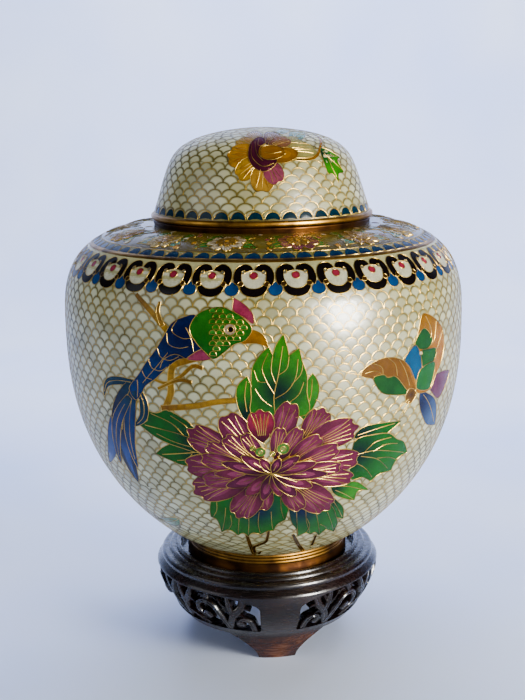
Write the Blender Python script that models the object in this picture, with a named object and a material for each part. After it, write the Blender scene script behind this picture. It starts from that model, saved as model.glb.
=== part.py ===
"""Covered enamel jar with a domed lid, on a pierced three-footed hardwood stand.

Metres, +Z up. The origin is on the jar's axis, on the plane that the stand's feet rest on.
The front is towards -Y.
"""

import math

import bmesh
import bpy
from mathutils import geometry

MM = 0.001

# Gap kept between pieces that rest on each other
CONTACT_GAP = 0.3 * MM

# Stand: heights, from the floor up
FOOT_HEIGHT = 12.4 * MM
RING_HEIGHT = 3.6 * MM
SEAT_HEIGHT = 38.7 * MM

# Stand: what lies under the seat, from its top face down
SEAT_BOARD_THICKNESS = 3.6 * MM
WINDOW_COVER = 0.5 * MM
WINDOW_ARCH_RISE = 5.6 * MM
APRON_LIP = 1.3 * MM

# Stand: radii and thicknesses
FOOT_TIP_RADIUS = 36.0 * MM
RING_RADIUS = 40.0 * MM
APRON_RADIUS = 50.8 * MM
APRON_THICKNESS = 6.0 * MM
FOOT_THICKNESS = 8.0 * MM
SEAT_CLEARANCE = 3.2 * MM

# Stand: the rim's three beads from the seat outwards, each one's drop and step from the one before,
# and the groove between them and the apron
UPPER_BEAD_RADIUS = 1.2 * MM
UPPER_BEAD_RISE = 2.6 * MM
MIDDLE_BEAD_RADIUS = 1.4 * MM
MIDDLE_BEAD_DROP = 1.0 * MM
MIDDLE_BEAD_STEP = 2.8 * MM
LOWER_BEAD_RADIUS = 1.9 * MM
LOWER_BEAD_DROP = 1.9 * MM
LOWER_BEAD_STEP = 3.1 * MM
RIM_GROOVE = 0.7 * MM

# Stand: where each bead's round starts and ends, in degrees from straight outwards
LOWER_BEAD_ARC = (-25.0, 110.0)
MIDDLE_BEAD_ARC = (5.0, 110.0)
UPPER_BEAD_ARC = (5.0, 180.0)

# Stand: powers of the apron's bow and of the feet's spread towards their roots
APRON_BOW = 1.69
FOOT_FLARE = 1.8

# Stand: feet and piercing
FOOT_COUNT = 3
FRONT_FOOT_ANGLE = math.radians(-84.0)
FOOT_TIP_WIDTH = 18.0 * MM
FOOT_ROOT_WIDTH = 44.0 * MM
LEG_WIDTH = 17.0 * MM
SCROLL_WIDTH = 3.8 * MM
SCROLL_EYE_RADIUS = 2.3 * MM
SCROLL_INSET = 0.35 * MM
SCROLL_EYE_SIDES = 7

# Shares: a scroll's thin end, a volute's and a small curl's radius, and the level part of a window's top
SCROLL_THIN_SHARE = 0.6
VOLUTE_SHARE = 0.30
CURL_SHARE = 0.14
WINDOW_LEVEL_SHARE = 0.45

# How far a cut starts before the wood that it takes away, and how many radii out it reaches,
# because its flat ends have to lie outside the round wood
CUT_MARGIN = 3.0 * MM
CUT_REACH = 2.5

# Jar
JAR_RADIUS = 86.7 * MM
JAR_WALL = 2.0 * MM
JAR_FOOT_RADIUS = 35.8 * MM
JAR_FOOT_SPREAD = 0.7 * MM
JAR_FOOT_HEIGHT = 9.2 * MM
JAR_FOOT_RING_WIDTH = 3.0 * MM
JAR_BASE_RECESS = 6.4 * MM
JAR_LOWER_HEIGHT = 98.8 * MM
JAR_UPPER_HEIGHT = 41.8 * MM
NECK_RADIUS = 40.5 * MM
NECK_HEIGHT = 12.0 * MM
SHOULDER_STEP = 3.5 * MM
COLLAR_HEIGHT = 2.2 * MM
COLLAR_INSET = 0.9 * MM

# Roundness of the jar below and above its widest line
LOWER_POWERS = (2.44, 1.23)
UPPER_POWERS = (3.08, 2.44)

# Lid
LID_WALL = 2.0 * MM
LID_NECK_CLEARANCE = 1.2 * MM
LID_HEIGHT = 37.8 * MM
LID_TAPER = 11.95 * MM
LID_POWERS = (8.0, 1.67)
LID_RIM_HEIGHT = 2.4 * MM
LID_RIM_PROUD = 0.5 * MM

# Facets round each turned piece
JAR_FACETS = 40
LID_FACETS = 32
STAND_FACETS = 36

# Edges sharper than this stay crisp in the shading
CRISP_ANGLE = math.radians(35.0)

# Heights that follow from the sizes above
RING_TOP = FOOT_HEIGHT + RING_HEIGHT
WINDOW_TOP = SEAT_HEIGHT - SEAT_BOARD_THICKNESS - WINDOW_COVER
SPANDREL_HEIGHT = WINDOW_TOP - WINDOW_ARCH_RISE
APRON_TOP = WINDOW_TOP + APRON_LIP
JAR_BOTTOM = SEAT_HEIGHT + CONTACT_GAP
JAR_FOOT_TOP = JAR_BOTTOM + JAR_FOOT_HEIGHT
JAR_WIDEST = JAR_FOOT_TOP + JAR_LOWER_HEIGHT
SHOULDER_TOP = JAR_WIDEST + JAR_UPPER_HEIGHT
COLLAR_TOP = SHOULDER_TOP + COLLAR_HEIGHT
NECK_TOP = SHOULDER_TOP + NECK_HEIGHT
LID_BOTTOM = COLLAR_TOP + CONTACT_GAP
LID_RIM_RADIUS = NECK_RADIUS + LID_NECK_CLEARANCE + LID_WALL + LID_TAPER * NECK_HEIGHT / LID_HEIGHT
COLLAR_RADIUS = LID_RIM_RADIUS + LID_RIM_PROUD - COLLAR_INSET
SHOULDER_RADIUS = NECK_RADIUS + SHOULDER_STEP
SEAT_RADIUS = JAR_FOOT_RADIUS + JAR_FOOT_SPREAD + SEAT_CLEARANCE


def clear_scene():
    """Removes what the scene starts with."""
    for old in list(bpy.data.objects):
        bpy.data.objects.remove(old)


def material(name, colour, roughness, metallic):
    """A Principled material with a plain colour."""
    made = bpy.data.materials.new(name)
    made.use_nodes = True
    shader = made.node_tree.nodes["Principled BSDF"]
    shader.inputs["Base Color"].default_value = (*colour, 1.0)
    shader.inputs["Roughness"].default_value = roughness
    shader.inputs["Metallic"].default_value = metallic
    return made


def spread(first, last, steps):
    """Evenly spaced values from first to last, both included."""
    return [first + (last - first) * i / steps for i in range(steps + 1)]


def arc(centre, radius, start_deg, end_deg, steps):
    """Points (r, z) of a circular arc."""
    return [
        (centre[0] + radius * math.cos(math.radians(a)), centre[1] + radius * math.sin(math.radians(a)))
        for a in spread(start_deg, end_deg, steps)
    ]


def jar_radius(z):
    """Outer radius of the jar at a height, from its foot to its shoulder."""
    if z < JAR_WIDEST:
        share = min(1.0, (JAR_WIDEST - z) / JAR_LOWER_HEIGHT)
        power, root = LOWER_POWERS
        inner = JAR_FOOT_RADIUS
    else:
        share = min(1.0, (z - JAR_WIDEST) / JAR_UPPER_HEIGHT)
        power, root = UPPER_POWERS
        inner = SHOULDER_RADIUS
    return inner + (JAR_RADIUS - inner) * (1.0 - share**power) ** (1.0 / root)


def lid_point(share):
    """Outer (r, z) of the lid's dome, for a share of its height from 0 to 1."""
    power, root = LID_POWERS
    radius = (LID_RIM_RADIUS - LID_TAPER * share) * (1.0 - share**power) ** (1.0 / root)
    return radius, LID_BOTTOM + LID_HEIGHT * share


def inward(points, wall):
    """An outline moved inwards by the wall, square to itself. The outline runs with its body on its left."""
    moved = []
    for i, (r, z) in enumerate(points):
        before = points[max(i - 1, 0)]
        after = points[min(i + 1, len(points) - 1)]
        along_r, along_z = after[0] - before[0], after[1] - before[1]
        length = math.hypot(along_r, along_z)
        moved.append((r - wall * along_z / length, z + wall * along_r / length))
    return moved


def turned(name, outline, facets, finish):
    """A solid of revolution from a closed outline that starts and ends on the axis, or rings it."""
    shape = bmesh.new()
    points = [shape.verts.new((r, 0.0, z)) for r, z in outline]
    on_axis = outline[0][0] < 1e-9
    edges = [shape.edges.new(pair) for pair in zip(points, points[1:])]
    if not on_axis:
        edges.append(shape.edges.new((points[-1], points[0])))
    bmesh.ops.spin(
        shape,
        geom=points + edges,
        cent=(0.0, 0.0, 0.0),
        axis=(0.0, 0.0, 1.0),
        angle=2.0 * math.pi,
        steps=facets,
        use_merge=True,
    )
    bmesh.ops.remove_doubles(shape, verts=shape.verts, dist=1e-6)
    bmesh.ops.recalc_face_normals(shape, faces=shape.faces)
    return placed(name, shape, finish)


def placed(name, shape, finish):
    """An object in the scene that holds the finished shape."""
    mesh = bpy.data.meshes.new(name)
    shape.to_mesh(mesh)
    shape.free()
    mesh.shade_smooth()
    mesh.set_sharp_from_angle(angle=CRISP_ANGLE)
    made = bpy.data.objects.new(name, mesh)
    bpy.context.scene.collection.objects.link(made)
    if finish:
        mesh.materials.append(finish)
    return made


def jar_wall():
    """Outer line of the jar's wall, from the foot ring's top to the neck's root."""
    lower = [JAR_WIDEST - JAR_LOWER_HEIGHT * math.cos(a) for a in spread(0.0, math.pi / 2, 9)]
    upper = [JAR_WIDEST + JAR_UPPER_HEIGHT * math.sin(a) for a in spread(0.0, math.pi / 2, 6)]
    return [(jar_radius(z), z) for z in lower + upper[1:]]


def build_jar(finish):
    """The hollow jar with its foot ring, its collar and its neck, open at the mouth."""
    wall = jar_wall()
    inner = inward(wall, JAR_WALL)
    mouth_radius = NECK_RADIUS - JAR_WALL
    inner = [(r, z) for r, z in inner if r > SHOULDER_RADIUS and z > JAR_FOOT_TOP + JAR_WALL]
    floor = JAR_BOTTOM + JAR_BASE_RECESS + JAR_WALL
    ring_radius = JAR_FOOT_RADIUS + JAR_FOOT_SPREAD
    ring_inside = ring_radius - JAR_FOOT_RING_WIDTH
    collar_root = next(z for r, z in reversed(wall) if r > COLLAR_RADIUS)
    outline = [
        (0.0, floor - JAR_WALL),
        (ring_inside, floor - JAR_WALL),
        (ring_inside, JAR_BOTTOM),
        (ring_radius, JAR_BOTTOM),
        (JAR_FOOT_RADIUS, JAR_FOOT_TOP - JAR_FOOT_SPREAD),
        *[(r, z) for r, z in wall if r > COLLAR_RADIUS or z < JAR_WIDEST],
        (COLLAR_RADIUS, (collar_root + SHOULDER_TOP) / 2),
        (COLLAR_RADIUS, COLLAR_TOP),
        (NECK_RADIUS, COLLAR_TOP),
        (NECK_RADIUS, NECK_TOP),
        (mouth_radius, NECK_TOP),
        (mouth_radius, SHOULDER_TOP - JAR_WALL),
        *reversed(inner),
        (JAR_FOOT_RADIUS - JAR_WALL, floor),
        (0.0, floor),
    ]
    return turned("jar", outline, JAR_FACETS, finish)


def build_lid(finish):
    """The hollow domed lid, which sits over the neck with its rim on the jar's collar."""
    shares = [math.sin(a) for a in spread(0.0, math.pi / 2, 9)]
    dome = [lid_point(share) for share in shares]
    crown = LID_BOTTOM + LID_HEIGHT
    inner = [(r, z) for r, z in inward(dome, LID_WALL) if r > 0.0 and LID_BOTTOM + LID_RIM_HEIGHT < z]
    inside = LID_RIM_RADIUS - LID_WALL
    rim = LID_RIM_RADIUS + LID_RIM_PROUD
    outline = [
        (0.0, crown - LID_WALL),
        *[(r, z) for r, z in reversed(inner) if z < crown - LID_WALL],
        (inside, LID_BOTTOM),
        (rim, LID_BOTTOM),
        (rim, LID_BOTTOM + LID_RIM_HEIGHT),
        *[(r, z) for r, z in dome if z > LID_BOTTOM + LID_RIM_HEIGHT + LID_RIM_PROUD][:-1],
        (0.0, crown),
    ]
    return turned("lid", outline, LID_FACETS, finish)


def apron_radius(z):
    """Outer radius of the stand's bowed apron, from its foot ring up to its top."""
    widest = WINDOW_TOP - SCROLL_WIDTH / 2
    if z > widest:
        return APRON_RADIUS
    share = (widest - z) / (widest - FOOT_HEIGHT)
    return APRON_RADIUS - (APRON_RADIUS - RING_RADIUS) * share**APRON_BOW


def stand_outline():
    """Closed outline (r, z) of the turned stand, before it is pierced."""
    board_under = SEAT_HEIGHT - SEAT_BOARD_THICKNESS
    upper_bead = (SEAT_RADIUS + UPPER_BEAD_RADIUS, SEAT_HEIGHT + UPPER_BEAD_RISE)
    middle_bead = (upper_bead[0] + MIDDLE_BEAD_STEP, upper_bead[1] - MIDDLE_BEAD_DROP)
    lower_bead = (middle_bead[0] + LOWER_BEAD_STEP, middle_bead[1] - LOWER_BEAD_DROP)
    apron = [(apron_radius(z), z) for z in spread(FOOT_HEIGHT, WINDOW_TOP, 5)]
    inside = [(r - APRON_THICKNESS, z) for r, z in apron if z < board_under]
    return [
        (0.0, board_under),
        (apron_radius(board_under) - APRON_THICKNESS, board_under),
        *reversed(inside),
        (FOOT_TIP_RADIUS - FOOT_THICKNESS, 0.0),
        (FOOT_TIP_RADIUS, 0.0),
        *apron,
        (APRON_RADIUS - RIM_GROOVE, APRON_TOP),
        (APRON_RADIUS - 2 * RIM_GROOVE, APRON_TOP + RIM_GROOVE),
        *arc(lower_bead, LOWER_BEAD_RADIUS, *LOWER_BEAD_ARC, 3),
        *arc(middle_bead, MIDDLE_BEAD_RADIUS, *MIDDLE_BEAD_ARC, 2),
        *arc(upper_bead, UPPER_BEAD_RADIUS, *UPPER_BEAD_ARC, 3),
        (SEAT_RADIUS, SEAT_HEIGHT),
        (0.0, SEAT_HEIGHT),
    ]


def panel_radius():
    """Outer radius of the apron half way up its windows, where lengths along it are true."""
    return apron_radius((RING_TOP + WINDOW_TOP) / 2)


def half_panel():
    """Length along the apron from a panel's middle to the leg at its end."""
    return (panel_radius() * 2.0 * math.pi / FOOT_COUNT - LEG_WIDTH) / 2


def window():
    """Outline (along, z) of the opening between two legs, under an arched top edge."""
    end = half_panel()
    level = end * WINDOW_LEVEL_SHARE
    right = [
        (level + (end - level) * math.cos(a), SPANDREL_HEIGHT + WINDOW_ARCH_RISE * math.sin(a))
        for a in spread(0.0, math.pi / 2, 5)
    ]
    top = [(along, WINDOW_TOP) for along in spread(right[-1][0], -right[-1][0], 5)]
    bottom = [(along, RING_TOP) for along in spread(-end, end, 7)]
    return right + top[1:-1] + [(-along, z) for along, z in reversed(right)] + bottom


def curl(centre, start_radius, end_radius, start_deg, end_deg, steps):
    """Path (along, z) that winds about a centre while its radius changes evenly."""
    path = []
    for i, angle in enumerate(spread(math.radians(start_deg), math.radians(end_deg), steps)):
        radius = start_radius + (end_radius - start_radius) * i / steps
        path.append((centre[0] + radius * math.cos(angle), centre[1] + radius * math.sin(angle)))
    return path


def scrolls():
    """Paths (along, z) with widths, of the carved scrollwork in half of a panel.

    The scrolls keep their places as shares of the window. Their ends lie inside the wood above
    and below it, so each grows out of the frame.
    """
    end = half_panel()
    low, high = RING_TOP, WINDOW_TOP
    tall = high - low
    full, fine = SCROLL_WIDTH, SCROLL_WIDTH * SCROLL_THIN_SHARE
    foot, head = low - full / 3, high + full / 4
    big, small = VOLUTE_SHARE * tall, CURL_SHARE * tall

    def place(along, up):
        """A place, from shares of the half panel's length and of the window's height."""
        return along * end, low + up * tall

    stem = [(0.64 * end, foot), place(0.60, 0.26)]
    volute = stem + curl(place(0.40, 0.50), 1.12 * big, 0.40 * big, 8.0, 290.0, 5)
    sprout = [(0.93 * end, foot), place(0.90, 0.28)]
    sprout += curl(place(0.82, 0.26), small, 0.7 * small, 40.0, 200.0, 2)
    mound = [(0.62 * end, foot), place(0.70, 0.42), place(0.80, 0.72), (0.84 * end, head)]
    leaf = [(0.66 * end, head), place(0.68, 0.72), place(0.72, 0.44)]
    tie = [(0.44 * end, head), place(0.42, 0.80)]
    bud = [(0.03 * end, head), place(0.09, 0.62), place(0.09, 0.36), (0.02 * end, foot)]
    hook = [place(0.09, 0.50), place(0.17, 0.74), (0.24 * end, head)]
    frond = [place(0.08, 0.30), place(0.20, 0.20), (0.34 * end, foot)]
    return [
        (volute, full, fine),
        (sprout, full, fine),
        (mound, full, full),
        (leaf, fine, full),
        (tie, full, fine),
        (bud, fine, full),
        (hook, full, fine),
        (frond, fine, full),
    ]


def wrapped(along, z, radius, turn):
    """The point at a distance along the apron, a height and a radius, on the panel at a turn."""
    angle = turn + along / panel_radius()
    return radius * math.cos(angle), radius * math.sin(angle), z


def add_ribbon(shape, path, start_width, end_width, inset, turn):
    """Adds one carved ribbon that follows a path on the bowed apron, through its thickness."""
    rows = []
    last = len(path) - 1
    for i, (along, z) in enumerate(path):
        before, after = path[max(i - 1, 0)], path[min(i + 1, last)]
        run, rise = after[0] - before[0], after[1] - before[1]
        length = math.hypot(run, rise)
        half = (start_width + (end_width - start_width) * i / last) / 2
        sides = [(along - half * rise / length, z + half * run / length)]
        sides.append((along + half * rise / length, z - half * run / length))
        row = []
        for depth in (inset, APRON_THICKNESS - inset):
            for a, height in sides:
                row.append(shape.verts.new(wrapped(a, height, apron_radius(height) - depth, turn)))
        rows.append((row[0], row[1], row[3], row[2]))
    shape.faces.new(reversed(rows[0]))
    shape.faces.new(rows[-1])
    for first, second in zip(rows, rows[1:]):
        for i in range(4):
            j = (i + 1) % 4
            shape.faces.new((first[i], first[j], second[j], second[i]))


def add_eye(shape, centre, radius, inset, turn, sides):
    """Adds the round button at the heart of a scroll."""
    rings = []
    for depth in (inset, APRON_THICKNESS - inset):
        ring = []
        for along, z in arc(centre, radius, 0.0, 360.0, sides)[:-1]:
            ring.append(shape.verts.new(wrapped(along, z, apron_radius(z) - depth, turn)))
        rings.append(ring)
    shape.faces.new(rings[0])
    shape.faces.new(reversed(rings[1]))
    for i in range(sides):
        j = (i + 1) % sides
        shape.faces.new((rings[0][j], rings[0][i], rings[1][i], rings[1][j]))


def foot_gap():
    """Outline (along the ring, z) of the opening between two feet, below the ring."""
    pitch = 2.0 * math.pi * RING_RADIUS / FOOT_COUNT
    below = -CUT_MARGIN
    side = []
    for share in spread(0.0, 1.0, 5):
        width = FOOT_TIP_WIDTH + (FOOT_ROOT_WIDTH - FOOT_TIP_WIDTH) * share**FOOT_FLARE
        side.append((pitch / 2 - width / 2, FOOT_HEIGHT * share))
    top = [(along, FOOT_HEIGHT) for along in spread(side[-1][0], -side[-1][0], 6)][1:-1]
    bottom = [(along, below) for along in spread(-side[0][0], side[0][0], 6)]
    return side + top + [(-along, z) for along, z in reversed(side)] + bottom


def add_cutter(shape, outline, turn, reference_radius, inner, outer):
    """Adds a closed radial wedge: the outline is wrapped round the axis and reaches from inner to outer."""
    count = len(outline)
    rings = []
    for radius in (inner, outer):
        ring = []
        for along, z in outline:
            angle = turn + along / reference_radius
            ring.append(shape.verts.new((radius * math.cos(angle), radius * math.sin(angle), z)))
        rings.append(ring)
    for i in range(count):
        j = (i + 1) % count
        shape.faces.new((rings[0][i], rings[0][j], rings[1][j], rings[1][i]))
    flat = [[(along, z, 0.0) for along, z in outline]]
    for a, b, c in geometry.tessellate_polygon(flat):
        shape.faces.new((rings[0][a], rings[0][b], rings[0][c]))
        shape.faces.new((rings[1][a], rings[1][c], rings[1][b]))


def guide(name, shape):
    """A shape that only cuts or joins another: it is not a piece of the object."""
    bmesh.ops.recalc_face_normals(shape, faces=shape.faces)
    made = placed(name, shape, None)
    made.hide_render = True
    made.display_type = "WIRE"
    return made


def build_stand(finish):
    """The turned hardwood stand: cut away between its feet, its apron opened and filled with scrollwork."""
    stand = turned("stand", stand_outline(), STAND_FACETS, finish)
    openings = bmesh.new()
    scrollwork = bmesh.new()
    inside = RING_RADIUS - APRON_THICKNESS - CUT_MARGIN
    foot_inside = FOOT_TIP_RADIUS - FOOT_THICKNESS - CUT_MARGIN
    for i in range(FOOT_COUNT):
        turn = FRONT_FOOT_ANGLE + 2.0 * math.pi / FOOT_COUNT * (i + 0.5)
        add_cutter(openings, window(), turn, panel_radius(), inside, APRON_RADIUS * CUT_REACH)
        add_cutter(openings, foot_gap(), turn, RING_RADIUS, foot_inside, RING_RADIUS * CUT_REACH)
        for side in (1.0, -1.0):
            for order, (path, start_width, end_width) in enumerate(scrolls()):
                # Each scroll lies a little deeper than the one before, as carved work overlaps
                inset = SCROLL_INSET * (1.0 + order / 2 + (side < 0.0) / 4)
                sided = [(side * along, z) for along, z in path]
                add_ribbon(scrollwork, sided, start_width, end_width, inset, turn)
                if order < 2:
                    add_eye(scrollwork, sided[-1], SCROLL_EYE_RADIUS, inset / 2, turn, SCROLL_EYE_SIDES)
    for name, shape, operation in (
        ("stand_openings", openings, "DIFFERENCE"),
        ("stand_scrollwork", scrollwork, "UNION"),
    ):
        step = stand.modifiers.new(name, "BOOLEAN")
        step.operation = operation
        step.solver = "EXACT"
        step.use_self = operation == "UNION"
        step.object = guide(name, shape)
    return stand


def main():
    """Builds the three pieces where they stand."""
    clear_scene()
    enamel = material("pearl_enamel", (0.66, 0.62, 0.50), 0.18, 0.0)
    wood = material("dark_hardwood", (0.050, 0.018, 0.012), 0.35, 0.0)
    root = bpy.data.objects.new("covered_jar", None)
    bpy.context.scene.collection.objects.link(root)
    for piece in (build_stand(wood), build_jar(enamel), build_lid(enamel)):
        piece.parent = root


main()
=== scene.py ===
"""Looks of a covered enamel jar with a domed lid, on a pierced and carved hardwood stand.

Sizes are in millimetres inside the classes and turn into metres where a mesh is made. A place on
the jar or the lid is an angle in degrees from the front, growing to the right, and a length s in
millimetres along the profile.
"""

import logging
import math
import random
from collections.abc import Callable, Iterable, Sequence
from dataclasses import dataclass, field
from enum import Enum

import bpy
import numpy as np
from mathutils import Matrix, Vector, geometry


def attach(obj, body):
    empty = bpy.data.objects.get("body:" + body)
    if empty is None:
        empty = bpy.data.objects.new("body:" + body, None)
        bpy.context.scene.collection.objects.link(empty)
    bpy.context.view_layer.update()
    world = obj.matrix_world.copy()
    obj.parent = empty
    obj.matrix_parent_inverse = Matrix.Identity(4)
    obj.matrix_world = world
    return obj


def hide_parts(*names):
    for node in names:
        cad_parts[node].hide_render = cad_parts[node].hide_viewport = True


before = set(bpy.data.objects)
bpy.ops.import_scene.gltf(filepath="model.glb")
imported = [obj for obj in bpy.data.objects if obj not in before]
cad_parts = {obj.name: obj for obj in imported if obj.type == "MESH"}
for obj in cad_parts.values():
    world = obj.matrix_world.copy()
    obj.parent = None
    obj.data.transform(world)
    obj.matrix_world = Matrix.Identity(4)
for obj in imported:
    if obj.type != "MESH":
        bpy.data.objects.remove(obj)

MM = 0.001
LOG = logging.getLogger("jar")
Point = tuple[float, float]
Path = np.ndarray
Finish = bpy.types.Material
Tree = bpy.types.NodeTree
Node = bpy.types.Node
# Edges bent more than this many degrees stay sharp, on turned and on carved pieces
TURNED_EDGE, CARVED_EDGE = 38.0, 42.0


def linear(hex_colour: str) -> tuple[float, float, float, float]:
    """Turns an sRGB hex colour into linear red, green, blue and an alpha of one.

    Args:
        hex_colour: Six hex digits after a hash.

    Returns:
        The linear colour, as the shader's sockets take it.
    """
    parts = [int(hex_colour[i : i + 2], 16) / 255 for i in (1, 3, 5)]
    return (*[c / 12.92 if c <= 0.04045 else ((c + 0.055) / 1.055) ** 2.4 for c in parts], 1.0)


def fit(tree: Tree, node: Node, settings: dict, links: dict) -> None:
    """Gives a node its settings and its links.

    Args:
        tree: The node tree that it stands in.
        node: The node.
        settings: Values by the name of a property, or by the name or number of an input.
        links: Output sockets by the name or number of the input that they feed.
    """
    for key, value in settings.items():
        if isinstance(key, str) and hasattr(node, key):
            setattr(node, key, value)
        else:
            node.inputs[key].default_value = value
    for key, socket in links.items():
        tree.links.new(socket, node.inputs[key])


def add_node(tree: Tree, kind: str, settings: dict, links: dict | None = None) -> Node:
    """Adds a node with its settings and its links.

    Args:
        tree: The node tree that it goes into.
        kind: The node's type name, without its leading "ShaderNode".
        settings: As for fit().
        links: As for fit().

    Returns:
        The new node.
    """
    made = tree.nodes.new("ShaderNode" + kind)
    fit(tree, made, settings, links or {})
    return made


def new_material(name: str) -> tuple[Finish, Tree, Node]:
    """Makes a material with a Principled shader.

    Args:
        name: The material's name.

    Returns:
        The material, its node tree and the Principled node.
    """
    made = bpy.data.materials.new(name)
    made.use_nodes = True
    return made, made.node_tree, made.node_tree.nodes["Principled BSDF"]


def spread_stops(ramp: Node, stops: Sequence[tuple[float, str]]) -> None:
    """Sets the stops of a colour ramp.

    Args:
        ramp: The ramp node.
        stops: Each stop's place from 0 to 1, and its hex colour.
    """
    elements = ramp.color_ramp.elements
    while len(elements) < len(stops):
        elements.new(0.5)
    for element, (place, colour) in zip(elements, stops):
        element.position = place
        element.color = linear(colour)


class Slot(Enum):
    """The record's material slots."""

    PEARL = "pearl_enamel"
    PICTURE = "picture_enamel"
    GILT = "gilt_wire"
    WOOD = "dark_hardwood"


@dataclass(frozen=True)
class PearlEnamel:
    """Vitreous enamel, a pearly off-white, fired into the cells of a scale ground and polished.

    The eye sees a deep wet gloss, cells that differ a little in tone, and a dip to each wire, where painted
    shade darkens the enamel.
    """

    pale: str = "#DAD6A2"
    mid: str = "#C6BF88"
    grey: str = "#A69F6C"
    painted_seam_shade: str = "#6A6424"
    roughness: float = 0.32

    def make(self) -> Finish:
        """Builds the material.

        Returns:
            The pearl enamel, which reads the "scales" UV map in cells and rows.
        """
        made, tree, shader = new_material("pearl_enamel")
        uv = add_node(tree, "UVMap", {"uv_map": "scales"})
        apart = add_node(tree, "SeparateXYZ", {}, {0: uv.outputs[0]})
        found = {"u": apart.outputs[0], "v": apart.outputs[1]}
        # Which scale a place lies in, and how far it is from that scale's wires, in scale heights
        steps = (
            "row FLOOR v", "up FRACT v", "odd MODULO row 2", "shift MULTIPLY odd 0.5", "along ADD u shift",
            "share FRACT along", "off SUBTRACT share 0.5", "twice MULTIPLY off 2",
            "squared MULTIPLY twice twice", "left SUBTRACT 1 squared", "arch SQRT left",
            "above GREATER_THAN up arch", "own_row ADD row above", "own_odd MODULO own_row 2",
            "own_shift MULTIPLY own_odd 0.5", "own_along ADD u own_shift", "own_cell FLOOR own_along",
            "own_share SUBTRACT own_along own_cell", "x SUBTRACT own_share 0.5", "x2 MULTIPLY x 2",
            "y SUBTRACT v own_row", "xx MULTIPLY x2 x2", "yy MULTIPLY y y", "sum ADD xx yy", "far SQRT sum",
            "to_own SUBTRACT 1 far", "side ABSOLUTE x2", "side_off SUBTRACT side 1", "low ADD y 1",
            "ss MULTIPLY side_off side_off", "ll MULTIPLY low low", "low_sum ADD ss ll",
            "low_far SQRT low_sum", "to_low SUBTRACT low_far 1", "own_side ABSOLUTE to_own",
            "gap MINIMUM own_side to_low",
        )
        for name, operation, *inputs in map(str.split, steps):
            settings = {place: float(value) for place, value in enumerate(inputs) if value not in found}
            links = {place: found[value] for place, value in enumerate(inputs) if value in found}
            found[name] = add_node(tree, "Math", {"operation": operation, **settings}, links).outputs[0]
        cell = add_node(tree, "CombineXYZ", {}, {0: found["own_cell"], 1: found["own_row"]})
        tone = add_node(tree, "TexWhiteNoise", {"noise_dimensions": "3D"}, {0: cell.outputs[0]})
        where = add_node(tree, "TexCoord", {})
        # Cloudy patches in the fired enamel, about 15 mm across
        cloud = add_node(tree, "TexNoise", {"Scale": 65.0, "Detail": 2.0}, {0: where.outputs["Object"]})
        blend = add_node(tree, "Math", {"operation": "MULTIPLY_ADD", 1: 0.45},
            {0: tone.outputs["Value"], 2: cloud.outputs["Fac"]})
        ramp = add_node(tree, "ValToRGB", {}, {0: blend.outputs[0]})
        spread_stops(ramp, ((0.38, self.grey), (0.70, self.mid), (1.0, self.pale)))
        ease = {"interpolation_type": "SMOOTHSTEP", 1: 0.0}
        # Along each wire the enamel dips, and the darker olive ring there is painted shade
        rim, hollow = (add_node(tree, "MapRange", {**ease, 2: far}, {0: found["gap"]}) for far in (0.32, 0.5))
        painted_seam_shade = add_node(tree, "MixRGB", {1: linear(self.painted_seam_shade)}, {0: rim.outputs[0], 2: ramp.outputs[0]})
        bump = add_node(tree, "Bump", {"Strength": 0.6, "Distance": 0.08 * MM}, {"Height": hollow.outputs[0]})
        levels = {"Roughness": self.roughness, "IOR": 1.52, "Specular IOR Level": 0.5, "Coat Weight": 0.15}
        fit(tree, shader, {**levels, "Coat Roughness": 0.08},
            {"Base Color": painted_seam_shade.outputs[0], "Normal": bump.outputs[0]})
        return made


@dataclass(frozen=True)
class PictureEnamel:
    """Coloured vitreous enamel, laid wet into wire cells, fired and polished.

    The eye sees saturated glassy colour that drifts inside a cell, with a fine grain of ground glass.
    """

    roughness: float = 0.18
    grain_mm: float = 0.6

    def make(self) -> Finish:
        """Builds the material.

        Returns:
            The enamel, which takes its colour from the "tint" attribute.
        """
        made, tree, shader = new_material("picture_enamel")
        tint = add_node(tree, "Attribute", {"attribute_name": "tint"})
        where = add_node(tree, "TexCoord", {}).outputs["Object"]
        settings = {"Scale": 1.0 / (self.grain_mm * MM), "Detail": 2.0, "Roughness": 0.6}
        grain = add_node(tree, "TexNoise", settings, {0: where}).outputs["Fac"]
        # Drifts of colour in a cell, about 4 mm across
        cloud = add_node(tree, "TexNoise", {"Scale": 260.0, "Detail": 2.0}, {0: where}).outputs["Fac"]
        mixed = add_node(tree, "Math", {"operation": "ADD"}, {0: grain, 1: cloud})
        level = add_node(tree, "MapRange", {1: 0.6, 2: 1.4, 3: 0.74, 4: 1.28}, {0: mixed.outputs[0]})
        colour = add_node(tree, "VectorMath", {"operation": "SCALE"},
            {0: tint.outputs["Color"], "Scale": level.outputs[0]})
        bump = add_node(tree, "Bump", {"Strength": 0.25, "Distance": 0.03 * MM}, {"Height": cloud})
        fit(tree, shader, {"Roughness": self.roughness, "IOR": 1.52, "Specular IOR Level": 0.12},
            {"Base Color": colour.outputs[0], "Normal": bump.outputs[0]})
        return made


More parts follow.
